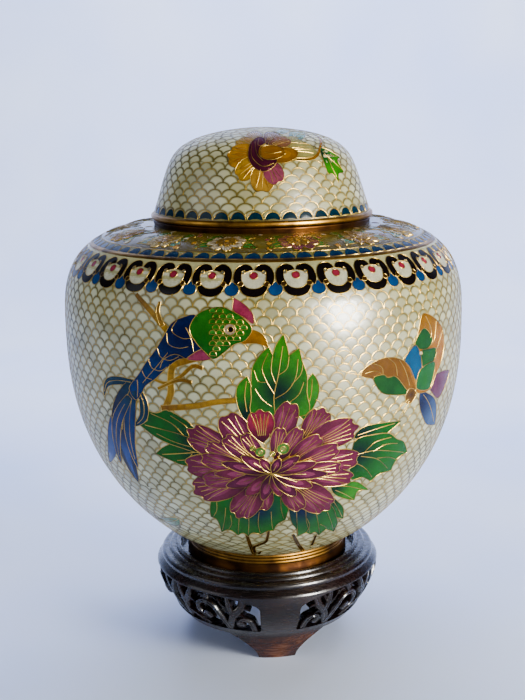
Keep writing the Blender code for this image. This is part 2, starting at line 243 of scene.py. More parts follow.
@dataclass(frozen=True)
class GiltBrass:
    """Brass or copper wire and rims, ground flush, polished and gilded.

    The eye sees warm yellow glints on the crests, with browner metal where the gilding has worn.
    """

    name: str = "gilt_wire"
    bright: str = "#C09A42"
    worn: str = "#6A541E"
    roughness: float = 0.27

    def make(self) -> Finish:
        """Builds the material.

        Returns:
            The gilded metal.
        """
        made, tree, shader = new_material(self.name)
        where = add_node(tree, "TexCoord", {})
        # Worn patches, about 10 mm across
        wear = add_node(tree, "TexNoise", {"Scale": 100.0, "Detail": 3.0}, {0: where.outputs["Object"]})
        ramp = add_node(tree, "ValToRGB", {}, {0: wear.outputs["Fac"]})
        spread_stops(ramp, ((0.36, self.worn), (0.60, self.bright)))
        span = {1: 0.3, 2: 0.7, 3: self.roughness + 0.12, 4: self.roughness}
        rough = add_node(tree, "MapRange", span, {0: wear.outputs["Fac"]})
        fit(tree, shader, {"Metallic": 1.0}, {"Base Color": ramp.outputs[0], "Roughness": rough.outputs[0]})
        return made


@dataclass(frozen=True)
class Rosewood:
    """Rosewood, turned and carved, stained dark and lacquered.

    The eye sees near-black brown with red where the lacquer is thin, fine grain and soft highlights.
    """

    dark: str = "#050304"
    brown: str = "#120606"
    red: str = "#220A06"
    worn: tuple[str, ...] = ("#240A06", "#4E1E0C", "#8E5024")
    grain_mm: float = 1.1

    def make(self) -> Finish:
        """Builds the material.

        Returns:
            The lacquered rosewood.
        """
        made, tree, shader = new_material("dark_hardwood")
        where = add_node(tree, "TexCoord", {}).outputs["Object"]
        # Grain runs along X, so it is stretched ten times that way
        place = add_node(tree, "Mapping", {"Scale": (0.1, 1.0, 1.0)}, {0: where})
        settings = {"Scale": 1.0 / (self.grain_mm * MM), "Detail": 4.0, "Roughness": 0.65, "Distortion": 0.4}
        grain = add_node(tree, "TexNoise", settings, {0: place.outputs[0]}).outputs["Fac"]
        patch = add_node(tree, "TexNoise", {"Scale": 55.0, "Detail": 3.0}, {0: where}).outputs["Fac"]
        mixed = add_node(tree, "Math", {"operation": "MULTIPLY_ADD", 1: 0.45}, {0: grain, 2: patch})
        ramp = add_node(tree, "ValToRGB", {}, {0: mixed.outputs[0]})
        spread_stops(ramp, ((0.50, self.dark), (0.74, self.brown), (0.98, self.red)))
        # Over the stand's height, 40 mm: worn on the feet, and a redder band all round under the rim that is
        # painted light, as on a flare that faces up
        apart = add_node(tree, "SeparateXYZ", {}, {0: where})
        up = add_node(tree, "MapRange", {1: 0.0, 2: 40.0 * MM}, {0: apart.outputs[2]})
        zone = add_node(tree, "ValToRGB", {}, {0: up.outputs[0]})
        spread_stops(zone, ((0.0, "#D0D0D0"), (0.25, "#A0A0A0"), (0.33, "#080808"), (0.68, "#000000"),
            (0.76, "#2A2A2A"), (0.86, "#2A2A2A"), (0.92, "#060606")))
        wear_and_lit_band = add_node(tree, "ValToRGB", {}, {0: mixed.outputs[0]})
        spread_stops(wear_and_lit_band, tuple(zip((0.55, 0.74, 0.90), self.worn)))
        both = add_node(tree, "MixRGB", {}, {0: zone.outputs[0], 1: ramp.outputs[0], 2: wear_and_lit_band.outputs[0]})
        rough = add_node(tree, "MapRange", {1: 0.3, 2: 0.7, 3: 0.2, 4: 0.34}, {0: grain})
        bump = add_node(tree, "Bump", {"Strength": 0.35, "Distance": 0.12 * MM}, {"Height": grain})
        fit(tree, shader, {"Specular IOR Level": 0.3, "Coat Weight": 0.3, "Coat Roughness": 0.08},
            {"Base Color": both.outputs[0], "Roughness": rough.outputs[0], "Normal": bump.outputs[0]})
        return made


def smooth(points: Sequence[Sequence[float]], closed: bool, steps: int) -> Path:
    """Draws a rounded line through points.

    Args:
        points: Places (x, y). A third number marks a place as a sharp corner.
        closed: Whether the line returns to its start.
        steps: Pieces between two points.

    Returns:
        The line's points, as rows of x and y.
    """
    places = np.array([p[:2] for p in points], float)
    sharp = [len(p) > 2 for p in points]
    count = len(places)
    line = []
    for i in range(count if closed else count - 1):
        a, b = places[i], places[(i + 1) % count]
        before = a if sharp[i] or (not closed and i == 0) else places[i - 1]
        ends = sharp[(i + 1) % count] or (not closed and i == count - 2)
        after = b if ends else places[(i + 2) % count]
        lead, trail = (b - before) / 2, (after - a) / 2
        for t in np.arange(steps) / steps:
            line.append((2 * t**3 - 3 * t**2 + 1) * a + (t**3 - 2 * t**2 + t) * lead
                + (3 * t**2 - 2 * t**3) * b + (t**3 - t**2) * trail)
    if not closed:
        line.append(places[-1])
    return np.array(line)


def disc(centre: Point, radius: float, sides: int = 14) -> Path:
    """Points of a circle."""
    turn = np.arange(sides) * 2 * math.pi / sides
    return np.column_stack([centre[0] + radius * np.cos(turn), centre[1] + radius * np.sin(turn)])


def aside(path: Path) -> Path:
    """Unit vectors square to a path, on its left.

    Args:
        path: Places along the path.

    Returns:
        One vector per place.
    """
    along = np.gradient(path, axis=0)
    along /= np.maximum(np.hypot(along[:, 0], along[:, 1]), 1e-9)[:, None]
    return np.column_stack([-along[:, 1], along[:, 0]])


def strip(path: Path, widths: Callable[[np.ndarray], np.ndarray]) -> Path:
    """Outline of a strip along a path.

    Args:
        path: The strip's middle line.
        widths: Gives the strip's whole width for shares from 0 to 1 of its length.

    Returns:
        The closed outline.
    """
    share = np.linspace(0.0, 1.0, len(path))
    half = widths(share)[:, None] / 2
    side = aside(path)
    return np.vstack([path + side * half, (path - side * half)[::-1]])


def bowed(root: Point, tip: Point, bend: float, steps: int) -> Path:
    """A path from root to tip that bows to its left by a share of its length.

    Args:
        root: Where it starts.
        tip: Where it ends.
        bend: The share of its length that it bows by.
        steps: Pieces between its ends.

    Returns:
        The path's points.
    """
    a, b = np.array(root, float), np.array(tip, float)
    across = np.array([-(b - a)[1], (b - a)[0]])
    t = np.linspace(0.0, 1.0, steps + 1)[:, None]
    return a + (b - a) * t + across * bend * 4 * t * (1 - t)


def inside(outline: Path, points: np.ndarray) -> np.ndarray:
    """Tells which points lie in an outline.

    Args:
        outline: The closed outline.
        points: Rows of x and y.

    Returns:
        One truth value per point.
    """
    found = np.zeros(len(points), bool)
    low, high = outline.min(0), outline.max(0)
    near = np.where(((points >= low) & (points <= high)).all(1))[0]
    if len(near) == 0:
        return found
    x, y = points[near, 0][:, None], points[near, 1][:, None]
    ax, ay = outline[:, 0][None], outline[:, 1][None]
    bx, by = np.roll(outline[:, 0], -1)[None], np.roll(outline[:, 1], -1)[None]
    rise = np.where(np.abs(by - ay) < 1e-12, 1e-12, by - ay)
    crossing = ((ay > y) != (by > y)) & (x < ax + (y - ay) * (bx - ax) / rise)
    found[near] = crossing.sum(1) % 2 == 1
    return found


def placed(name: str, data: bpy.types.ID) -> bpy.types.Object:
    """Makes an object from its data and links it into the scene.

    Args:
        name: The object's name.
        data: Its mesh, light or camera.

    Returns:
        The new object.
    """
    made = bpy.data.objects.new(name, data)
    bpy.context.scene.collection.objects.link(made)
    return made


def lattice(rows: int, columns: int, count: int | None = None) -> np.ndarray:
    """Faces between rows of points that each run round to their start.

    Args:
        rows: Rows of points.
        columns: Points in a row.
        count: Rows of faces, where that isn't one less than the rows of points.

    Returns:
        Four numbers of points per face.
    """
    i, j = np.arange(count or rows - 1)[:, None], np.arange(columns)[None]
    here, above, on = i * columns, (i + 1) % rows * columns, (j + 1) % columns
    return np.stack([here + j, here + on, above + on, above + j], -1).reshape(-1, 4)


def bands(first: np.ndarray, length: int, rows: int) -> np.ndarray:
    """Faces of wires whose lines of points lie a length apart, for the pieces that start at first."""
    corners = (0, 1, length + 1, length)
    return np.vstack([np.column_stack([first + j * length + k for k in corners]) for j in range(rows)])


def spun(outline: np.ndarray, turns: np.ndarray) -> np.ndarray:
    """Points of an outline of radius and height at each turn, place after place."""
    r, z = outline[:, :1], outline[:, 1:]
    return np.stack([r * np.sin(turns), -r * np.cos(turns), z + 0 * turns], -1).reshape(-1, 3)


def filled(flat: np.ndarray, edges: Sequence[Sequence[int]], rim: int) -> tuple[np.ndarray, np.ndarray, list]:
    """Fills an outline with triangles.

    Args:
        flat: Places, of which the outline comes first.
        edges: Pairs of places that an edge has to join.
        rim: How many places the outline has.

    Returns:
        The points, the faces and which of the given places each point was.
    """
    result = geometry.delaunay_2d_cdt([Vector(p) for p in flat.tolist()], edges, [list(range(rim))], 1, 1e-5)
    faces = np.array([f for f in result[2] if len(f) == 3], int).reshape(-1, 3)
    return np.array([tuple(p) for p in result[0]]), faces, result[3]


def arc(centre: Point, size: Point, start: float, end: float, count: int) -> list[Point]:
    """Places on an arc of an ellipse between two turns in radians."""
    turns = np.linspace(start, end, count)
    return [(centre[0] + size[0] * math.cos(a), centre[1] + size[1] * math.sin(a)) for a in turns]


@dataclass
class Heap:
    """Vertices, faces and colours that gather into one mesh."""

    points: list[np.ndarray] = field(default_factory=list)
    faces: list[np.ndarray] = field(default_factory=list)
    tints: list[np.ndarray] = field(default_factory=list)
    count: int = 0

    def add(self, points: np.ndarray, *faces: np.ndarray, tint: np.ndarray | None = None) -> None:
        """Adds points in metres, faces that count from the first of them, and a colour per point.

        Args:
            points: Rows of x, y and z.
            *faces: Blocks of faces, each with its own count of corners.
            tint: Rows of red, green and blue.
        """
        self.points.append(points)
        self.faces += [np.asarray(block, int) + self.count for block in faces]
        self.tints.append(np.ones((len(points), 3)) if tint is None else tint)
        self.count += len(points)

    def make(self, name: str, finish: Finish, slot: Slot) -> bpy.types.Object:
        """Makes the object, without points that no face uses.

        Args:
            name: The piece's name.
            finish: Its material.
            slot: The record's slot that it belongs to; not used.

        Returns:
            The new object, riding on the root body.
        """
        points, tints = np.vstack(self.points), np.vstack(self.tints)
        used = np.unique(np.concatenate([block.ravel() for block in self.faces]))
        places = np.full(len(points), -1)
        places[used] = np.arange(len(used))
        mesh = bpy.data.meshes.new(name)
        faces = [row for block in self.faces for row in places[block].tolist()]
        mesh.from_pydata(points[used].tolist(), [], faces)
        colour = mesh.color_attributes.new("tint", "FLOAT_COLOR", "POINT")
        colour.data.foreach_set("color", np.column_stack([tints[used], np.ones(len(used))]).ravel())
        mesh.shade_smooth()
        made = placed(name, mesh)
        dress(made, finish)
        return made


def dress(piece: bpy.types.Object, finish: Finish) -> None:
    """Gives a piece its material, lets it ride on the root body, and reports it.

    Args:
        piece: The piece.
        finish: Its material.
    """
    piece.data.materials.append(finish)
    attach(piece, "root")
    LOG.info("%s: %d faces", piece.name, len(piece.data.polygons))


@dataclass
class Chart:
    """A turned surface unrolled into angle and length along its profile."""

    line: np.ndarray
    zero_height: float

    def __post_init__(self) -> None:
        """Works out the length along the profile and the way that each place faces."""
        self.r, self.z = self.line[:, 0], self.line[:, 1]
        step = np.hypot(np.diff(self.r), np.diff(self.z))
        self.s = np.concatenate([[0.0], np.cumsum(step)])
        self.s -= np.interp(self.zero_height, self.z, self.s)
        dr, dz = np.gradient(self.r, self.s), np.gradient(self.z, self.s)
        size = np.hypot(dr, dz)
        self.out_r, self.out_z = dz / size, -dr / size

    def radius(self, s: np.ndarray) -> np.ndarray:
        """The surface's radius at a length along the profile."""
        return np.interp(s, self.s, self.r)

    def place(self, angle: np.ndarray, s: np.ndarray, height: np.ndarray | float) -> np.ndarray:
        """Points in metres.

        Args:
            angle: Degrees from the front.
            s: Lengths along the profile.
            height: How far out of the surface.

        Returns:
            One row of x, y and z per place.
        """
        turn = np.radians(angle)
        r = np.interp(s, self.s, self.r) + height * np.interp(s, self.s, self.out_r)
        z = np.interp(s, self.s, self.z) + height * np.interp(s, self.s, self.out_z)
        return np.stack([r * np.sin(turn), -r * np.cos(turn), z], -1).reshape(-1, 3) * MM

    def at_radius(self, radius: float) -> float:
        """The length along the profile where the surface's upper half has a radius."""
        upper = self.s > 0
        return float(self.s[upper][np.argmin(np.abs(self.r[upper] - radius))])


@dataclass(frozen=True)
class Wire:
    """Flat wire set on edge: its width, how far it sinks in and how far it stands out of the enamel."""

    width: float = 0.34
    sunk: float = 0.06
    proud: float = 0.09
    flat: float = 0.7


@dataclass
class Cell:
    """A field of enamel inside a wire."""

    outline: Path
    tint: np.ndarray
    heart: np.ndarray
    origin: Point
    reach: float
    group: str
    wired: bool = True
    level: int = 1


@dataclass
class Picture:
    """All the enamel cells and wires on one turned surface, later ones lying over earlier ones.

    Its plane has x = angle times mm_per_degree and y = s, so shapes keep their form.
    """

    chart: Chart
    mm_per_degree: float
    glaze: float
    widths: dict[str, float]
    wire: Wire = Wire()
    level_rise: float = 0.03
    rim_shade: float = 0.66
    cells: list[Cell] = field(default_factory=list)
    veins: list[tuple[Path, str, int]] = field(default_factory=list)

    def at(self, angle: float, s: float) -> Point:
        """The place in the plane of an angle and a length along the profile."""
        return angle * self.mm_per_degree, s

    def fill(
        self, outline: Path, group: str, tint: str, heart: str | None = None,
        origin: Point | None = None, reach: float | None = None, wired: bool = True,
    ) -> None:
        """Adds a cell.

        Args:
            outline: Its closed outline in the plane.
            group: The piece that it belongs to.
            tint: Its colour.
            heart: The colour at its origin, if that differs.
            origin: Where the heart colour lies.
            reach: How far the heart colour reaches.
            wired: Whether a wire runs round it.
        """
        colours = (np.array(linear(colour)[:3]) for colour in (tint, heart or tint))
        root = tuple(outline.mean(0)) if origin is None else origin
        far = reach or float(np.ptp(outline, axis=0).max())
        self.cells.append(Cell(outline, *colours, root, far, group, wired))

    def vein(self, path: Path, group: str) -> None:
        """Adds a wire that isn't the edge of a cell."""
        self.veins.append((path, group, len(self.cells)))

    def domes(
        self, group: str, count: int, first: float, size: Point, base: float, heart: str, root: float
    ) -> None:
        """Draws a row of half-round teal scales.

        Args:
            group: The piece that they belong to.
            count: How many go round.
            first: The first one's angle.
            size: Half a scale's width as a share of its room, and its height.
            base: Where their straight edge lies.
            heart: The colour at their root.
            root: Where their root lies.
        """
        step = 360.0 / count
        for i in range(count):
            x = (first + i * step) * self.mm_per_degree
            half = (step * self.mm_per_degree * size[0], size[1])
            dome = np.array(arc((x, base), half, 0.0, math.pi, 9))
            self.fill(dome, group, Palette.teal, heart, (x, root), 5.0)

    def stack(self) -> None:
        """Finds how many cells lie under each one."""
        low, high = (np.array([end(cell.outline, axis=0) for cell in self.cells]) for end in (np.min, np.max))
        for i, cell in enumerate(self.cells):
            near = np.where(((low[:i] < high[i]) & (high[:i] > low[i])).all(1))[0]
            centre = cell.outline.mean(0)
            tests = np.vstack([centre + (cell.outline - centre) * share for share in (0.15, 0.5, 0.85)])
            tests = tests[inside(cell.outline, tests)]
            under = (self.cells[j].level for j in near if inside(self.cells[j].outline, tests).any())
            cell.level = 1 + max(under, default=0)

    def on_surface(self, plane: np.ndarray, height: float | np.ndarray) -> np.ndarray:
        """Points in metres for places in the plane, at a height over the glaze."""
        return self.chart.place(plane[:, 0] / self.mm_per_degree, plane[:, 1], self.glaze + height)

    def tiles(self, group: str) -> Heap:
        """Makes the enamel fields of one group.

        Args:
            group: The piece's group name.

        Returns:
            The gathered faces.
        """
        heap = Heap()
        for cell in (c for c in self.cells if c.group == group):
            low, high = cell.outline.min(0), cell.outline.max(0)
            pitch = min(2.4, max(0.9, float((high - low).min()) / 2.5))
            xs, ys = (np.arange(low[k] + pitch / 2, high[k], pitch) for k in (0, 1))
            grid = np.array([(x, y) for x in xs for y in ys]).reshape(-1, 2)
            grid = grid[inside(cell.outline, grid)]
            edge = len(cell.outline)
            points, faces, origins = filled(np.vstack([cell.outline, grid]), [], edge)
            if len(faces) == 0:
                continue
            span = np.hypot(points[:, 0] - cell.origin[0], points[:, 1] - cell.origin[1]) / cell.reach
            share = np.clip(span, 0.0, 1.0)[:, None]
            share = share * share * (3 - 2 * share)
            tint = cell.heart * (1 - share) + cell.tint * share
            # Wired cells darken along their wire: painted shade by the wire
            if cell.wired:
                tint[[not o or min(o) < edge for o in origins]] *= self.rim_shade
            heap.add(self.on_surface(points, self.level_rise * cell.level), faces, tint=tint)
        return heap

    def ribbon(self, heap: Heap, path: Path, keep: np.ndarray, level: int, width: float) -> None:
        """Adds one wire.

        Args:
            heap: Where its faces go.
            path: Its middle line in the plane.
            keep: Which pieces between two points show.
            level: How many cells it lies over.
            width: Its width.
        """
        if not keep.any():
            return
        side = aside(path)
        if np.allclose(path[0], path[-1]):
            side[0] = side[-1] = side[0] + side[-1]
            side[[0, -1]] /= max(float(np.hypot(*side[0])), 1e-9)
        wire, half = self.wire, width / 2
        top = wire.proud + self.level_rise * level
        section = ((-half, -wire.sunk), (-half * wire.flat, top), (half * wire.flat, top), (half, -wire.sunk))
        rows = [self.on_surface(path + side * across, height) for across, height in section]
        heap.add(np.vstack(rows), bands(np.where(keep)[0], len(path), 3))

    def wires(self, group: str) -> Heap:
        """Makes the wires of one group, without the stretches that later cells cover.

        Args:
            group: The piece's group name.

        Returns:
            The gathered faces.
        """
        heap = Heap()
        lines = [
            (np.vstack([cell.outline, cell.outline[:1]]), i + 1, cell.level)
            for i, cell in enumerate(self.cells) if cell.group == group and cell.wired
        ]
        for path, part, after in self.veins:
            if part == group:
                middle = path[len(path) // 2][None]
                below = [cell.level for cell in self.cells[:after] if inside(cell.outline, middle).any()]
                lines.append((path, after, max(below, default=0)))
        width = self.widths.get(group, self.wire.width)
        for path, after, level in lines:
            self.ribbon(heap, path, ~self.covered((path[:-1] + path[1:]) / 2, after), level, width)
        return heap

    def covered(self, points: np.ndarray, after: int = 0) -> np.ndarray:
        """Tells which points lie under a cell.

        Args:
            points: Places in the plane.
            after: The first cell that counts.

        Returns:
            One truth value per point.
        """
        found = np.zeros(len(points), bool)
        # A cell past half a turn also covers the places that count from the other side
        for turn in (0.0, 360.0, -360.0):
            moved = points + (turn * self.mm_per_degree, 0.0)
            low, high = moved.min(0), moved.max(0)
            for cell in self.cells[after:]:
                if (cell.outline.min(0) < high).all() and (cell.outline.max(0) > low).all():
                    found |= inside(cell.outline, moved)
        return found

    def make(self, names: dict[str, str], enamel: Finish, gilt: Finish) -> None:
        """Makes the enamel piece and the wire piece of each group.

        Args:
            names: The piece names by group.
            enamel: The enamel material.
            gilt: The wire material.
        """
        self.stack()
        for group, name in names.items():
            self.tiles(group).make(name + "_enamel", enamel, Slot.PICTURE)
            self.wires(group).make(name + "_wires", gilt, Slot.GILT)


@dataclass(frozen=True)
class ScaleZone:
    """A belt of the scale ground with one count of scales round it."""

    low: float
    high: float
    count: int
    rows: int

    @property
    def pitch(self) -> float:
        """Height of a row."""
        return (self.high - self.low) / self.rows


@dataclass
class ScaleGround:
    """The wires of the scale ground, row over row, left out where the picture lies over them."""

    picture: Picture
    wire: Wire = Wire(width=0.36, sunk=0.06, proud=0.11)
    pieces: int = 10
    sway: float = 0.045

    def arcs(self, zone: ScaleZone, heap: Heap) -> None:
        """Adds the wires of one belt.

        Args:
            zone: The belt.
            heap: Where its faces go.
        """
        chart, wire = self.picture.chart, self.wire
        t = np.linspace(math.pi, 0.0, self.pieces + 1)
        step = 360.0 / zone.count
        for row in range(zone.rows):
            middles = (np.arange(zone.count) + 0.5 - 0.5 * (row % 2)) * step - 180.0
            # Scales bent by hand differ a little in place and size
            drift = np.random.default_rng(row).uniform(-self.sway, self.sway, (3, zone.count, 1))
            angle = middles[:, None] + step * (drift[0] + (0.5 + drift[1]) * np.cos(t)[None])
            s = zone.low + zone.pitch * (row + drift[2] + np.sin(t)[None] ** 0.85)
            scale = chart.radius(s) * math.pi / 180
            run, rise = np.gradient(angle, axis=1) * scale, np.gradient(s, axis=1)
            size = np.hypot(run, rise)
            lines = []
            for across, height in ((-0.5, -wire.sunk), (0.0, wire.proud), (0.5, -wire.sunk)):
                shift = wire.width * across
                turn = angle - rise / size * shift / scale
                lines.append(chart.place(turn, s + run / size * shift, self.picture.glaze + height))
            middle = [((block[:, :-1] + block[:, 1:]) / 2).ravel() for block in (angle, s)]
            keep = ~self.picture.covered(np.column_stack([middle[0] * self.picture.mm_per_degree, middle[1]]))
            count = self.pieces + 1
            first = (np.arange(zone.count)[:, None] * count + np.arange(self.pieces)[None]).ravel()[keep]
            if len(first):
                heap.add(np.vstack(lines), bands(first, zone.count * count, 2))

    def make(self, name: str, zones: Iterable[ScaleZone], gilt: Finish) -> None:
        """Makes one piece from some of the belts.

        Args:
            name: The piece's name.
            zones: The belts.
            gilt: The wires' material.
        """
        heap = Heap()
        for zone in zones:
            self.arcs(zone, heap)
        heap.make(name, gilt, Slot.GILT)


def turned(
    name: str, outline: Sequence[Point], facets: int, finish: Finish,
    zones: Sequence[ScaleZone] = (), lengths: Sequence[float] = (),
) -> bpy.types.Object:
    """Turns a closed outline round the axis.

    Args:
        name: The piece's name.
        outline: Places (r, z) with the body on their left, closed or from axis to axis.
        facets: Sides round the axis.
        finish: Its material.
        zones: Belts of scales, for the UV map in cells and rows.
        lengths: Length along the profile of each place of the outline's start, for that UV map.

    Returns:
        The new piece.
    """
    line = np.array(outline, float)
    open_ends = line[0, 0] < 1e-6 and line[-1, 0] < 1e-6
    points = spun(line, np.radians(np.arange(facets) * 360.0 / facets - 180.0))
    rows = len(line) - 1 if open_ends else len(line)
    mesh = bpy.data.meshes.new(name)
    mesh.from_pydata((points * MM).tolist(), [], lattice(len(line), facets, rows).tolist())
    if zones:
        uv = np.zeros((rows, facets, 4, 2))
        for row, (low, high) in enumerate(zip(lengths, lengths[1:])):
            zone = next((z for z in zones if z.low - 1e-6 <= (low + high) / 2 <= z.high), None)
            if zone is None:
                continue
            for corner, (step, s) in enumerate(((0, low), (1, low), (1, high), (0, high))):
                uv[row, :, corner, 0] = (np.arange(facets) + step) / facets * zone.count
                uv[row, :, corner, 1] = (s - zone.low) / zone.pitch
        mesh.uv_layers.new(name="scales").data.foreach_set("uv", uv.ravel())
    mesh.validate()
    mesh.shade_smooth()
    mesh.set_sharp_from_angle(angle=math.radians(TURNED_EDGE))
    made = placed(name, mesh)
    dress(made, finish)
    return made


@dataclass(frozen=True)
class Palette:
    """The enamel colours of the picture, as sRGB hex."""

    navy: str = "#030A34"
    blue: str = "#062C5E"
    teal: str = "#043244"
    lake: str = "#06547A"
    green: str = "#0C5A06"
    lime: str = "#2C7C06"
    pine: str = "#021A16"
    pink: str = "#8A3854"
    rose: str = "#6A2038"
    mauve: str = "#561832"
    wine: str = "#340A18"
    red: str = "#7A0E20"
    ochre: str = "#8A5A06"
    amber: str = "#A87206"
    bark: str = "#34200A"
    ink: str = "#0C0606"
    cream: str = "#C8C29C"
    olive: str = "#4A3E0C"


@dataclass
class Brush:
    """Draws fields, wires, leaves, petals and twigs into one group of a picture.

    Places are an angle from the front and a length s. A third number marks a sharp corner.
    """

    picture: Picture
    group: str

    def closed(self, places: Sequence[Sequence[float]]) -> Path:
        """A rounded outline through places."""
        return smooth([(*self.picture.at(*p[:2]), *p[2:]) for p in places], True, 4)

    def opened(self, places: Sequence[Point], steps: int = 5) -> Path:
        """A rounded open line through places."""
        return smooth([self.picture.at(*p) for p in places], False, steps)

    def field(
        self, places: Sequence[Sequence[float]], tint: str, heart: str | None = None,
        origin: Point | None = None, reach: float | None = None,
    ) -> None:
        """Fills a rounded outline.

        Args:
            places: The outline's places.
            tint: The enamel's colour.
            heart: The colour at the origin, if that differs.
            origin: The place of the heart colour.
            reach: How far the heart colour reaches, in millimetres.
        """
        start = None if origin is None else self.picture.at(*origin)
        self.picture.fill(self.closed(places), self.group, tint, heart, start, reach)

    def dot(self, place: Point, radius: float, tint: str, heart: str | None = None, sides: int = 12) -> None:
        """Fills a round spot."""
        self.picture.fill(disc(self.picture.at(*place), radius, sides), self.group, tint, heart)

    def wires(self, *lines: Sequence[Point]) -> None:
        """Lays wires along rounded lines."""
        for places in lines:
            self.picture.vein(self.opened(places), self.group)

    def leaf(
        self, root: Point, tip: Point, width: float, bend: float = 0.0, tint: str = Palette.green,
        heart: str = Palette.pine, veins: int = 3, reach: float = 0.75,
    ) -> None:
        """Draws a pointed leaf.

        Args:
            root: Its stalk end.
            tip: Its tip.
            width: Its whole width.
            bend: How far it bows to its left, as a share of its length.
            tint: Colour at the tip.
            heart: Colour at the root.
            veins: Side veins on each side.
            reach: How far the heart colour reaches, as a share of its length.
        """
        a, b = self.picture.at(*root), self.picture.at(*tip)
        spine = bowed(a, b, bend, 14)
        outline = strip(spine, lambda t: width * np.sin(math.pi * t**0.8) ** 0.85 * (1 - 0.25 * t) + 0.02)
        self.picture.fill(outline, self.group, tint, heart, a, math.dist(a, b) * reach)
        self.picture.vein(spine[:-2], self.group)
        side = aside(spine)
        for i in range(veins):
            share = 0.25 + 0.5 * i / max(veins - 1, 1)
            k = int(share * (len(spine) - 1))
            for sign in (1, -1):
                k_tip = min(k + 3, len(spine) - 2)
                end = spine[k_tip] + side[k_tip] * sign * width * 0.30 * math.sin(math.pi * share**0.8)
                self.picture.vein(bowed(tuple(spine[k]), tuple(end), 0.08 * sign, 4), self.group)

    def petal(
        self, root: Point, tip: Point, width: float, lobes: int = 1, tint: str = Palette.rose,
        heart: str = Palette.wine, glow: str | None = Palette.pink, bend: float = 0.0,
    ) -> None:
        """Draws a petal with a lobed end, a wire down to its root from each notch and a glow in each lobe.

        Args:
            root: Its root.
            tip: Its tip.
            width: Its whole width near the tip.
            lobes: Lobes of its end.
            tint: Colour at its end.
            heart: Colour at its root.
            glow: Colour inside each lobe.
            bend: How far it bows to its left, as a share of its length.
        """
        a, b = np.array(self.picture.at(*root)), np.array(self.picture.at(*tip))
        spine = bowed(tuple(a), tuple(b), bend, 10)
        ahead = spine[-1] - spine[-2]
        ahead /= np.hypot(*ahead)
        across = np.array([-ahead[1], ahead[0]])
        many = lobes > 1
        count = max(3, int(len(spine) * (0.72 if many else 0.62)))
        lower = spine[:count]
        half = (width / 2 * np.sin(np.linspace(0.0, 1.0, count) * math.pi / 2) ** 0.8)[:, None]
        side = aside(lower)
        base = spine[count - 1]
        reach = math.dist(spine[-1], base)
        first = 0.12 if many else 0.08
        end = []
        for k in range(lobes):
            for t in np.linspace(first, 1 - first, 6):
                place = (k + t) / lobes
                crown = math.sin(math.pi * place) ** 0.6
                rise = crown * 0.78 + math.sin(math.pi * t) ** 0.7 * 0.30 if many else crown
                end.append(base + across * width * (0.5 - place) * 1.04 + ahead * reach * rise)
        outline = np.vstack([lower + side * half, np.array(end), (lower - side * half)[::-1]])
        self.picture.fill(outline, self.group, tint, heart, tuple(a), math.dist(a, b) * 0.85)
        for k in range(lobes if glow else 0):
            place = (k + 0.5) / lobes
            aim = base + across * width * (0.5 - place) * 0.80 + ahead * reach * 0.55
            start = a + (aim - a) * 0.42
            drop = strip(bowed(tuple(start), tuple(aim), 0.05 * (0.5 - place), 8),
                lambda t: width / lobes * 0.5 * np.sin(math.pi * t) ** 0.6 + 0.02)
            self.picture.fill(drop, self.group, glow, tint, tuple(start), math.dist(aim, start), False)
        ribs = [k / lobes / 2 for k in range(1, 2 * lobes)] if many else [0.5]
        for place in ribs:
            head = base + across * width * (0.5 - place) + ahead * reach * (0.72 if many else 0.2)
            foot = a + (base - a) * 0.4 + across * width * (0.5 - place) * 0.4
            self.picture.vein(bowed(tuple(head), tuple(foot), 0.12 * (0.5 - place), 6), self.group)

    def blossom(
        self, centre: Point, size: float, wide: float, count: int, tint: str, turn: float = 0.3,
    ) -> None:
        """Draws a round flower of lobed petals about an amber eye.

        Args:
            centre: Its middle.
            size: Its radius in millimetres.
            wide: Degrees for each millimetre across.
            count: How many petals it has.
            tint: Their colour.
            turn: Where the first petal points, in radians.
        """
        for scale, part in ((1.0, tint), (0.56, Palette.amber)):
            for k in range(count):
                angle = turn + 2 * math.pi * k / count
                far = size * scale
                tip = (centre[0] + wide * far * math.cos(angle), centre[1] + far * math.sin(angle))
                self.petal(centre, tip, far * 5.2 / count, 2, part, Palette.wine, None)
        self.dot(centre, size * 0.18, Palette.amber, sides=10)

    def twig(
        self, places: Sequence[Point], start: float, end: float, tint: str = Palette.amber,
        heart: str = Palette.bark,
    ) -> None:
        """Draws a twig through places, from one width to another.

        Args:
            places: Its middle line.
            start: Its width at the start.
            end: Its width at the end.
            tint: Its colour.
            heart: The colour at its start.
        """
        path = self.opened(places, 4)
        outline = strip(path, lambda t: start + (end - start) * t)
        self.picture.fill(outline, self.group, tint, heart, tuple(path[0]), 14.0)


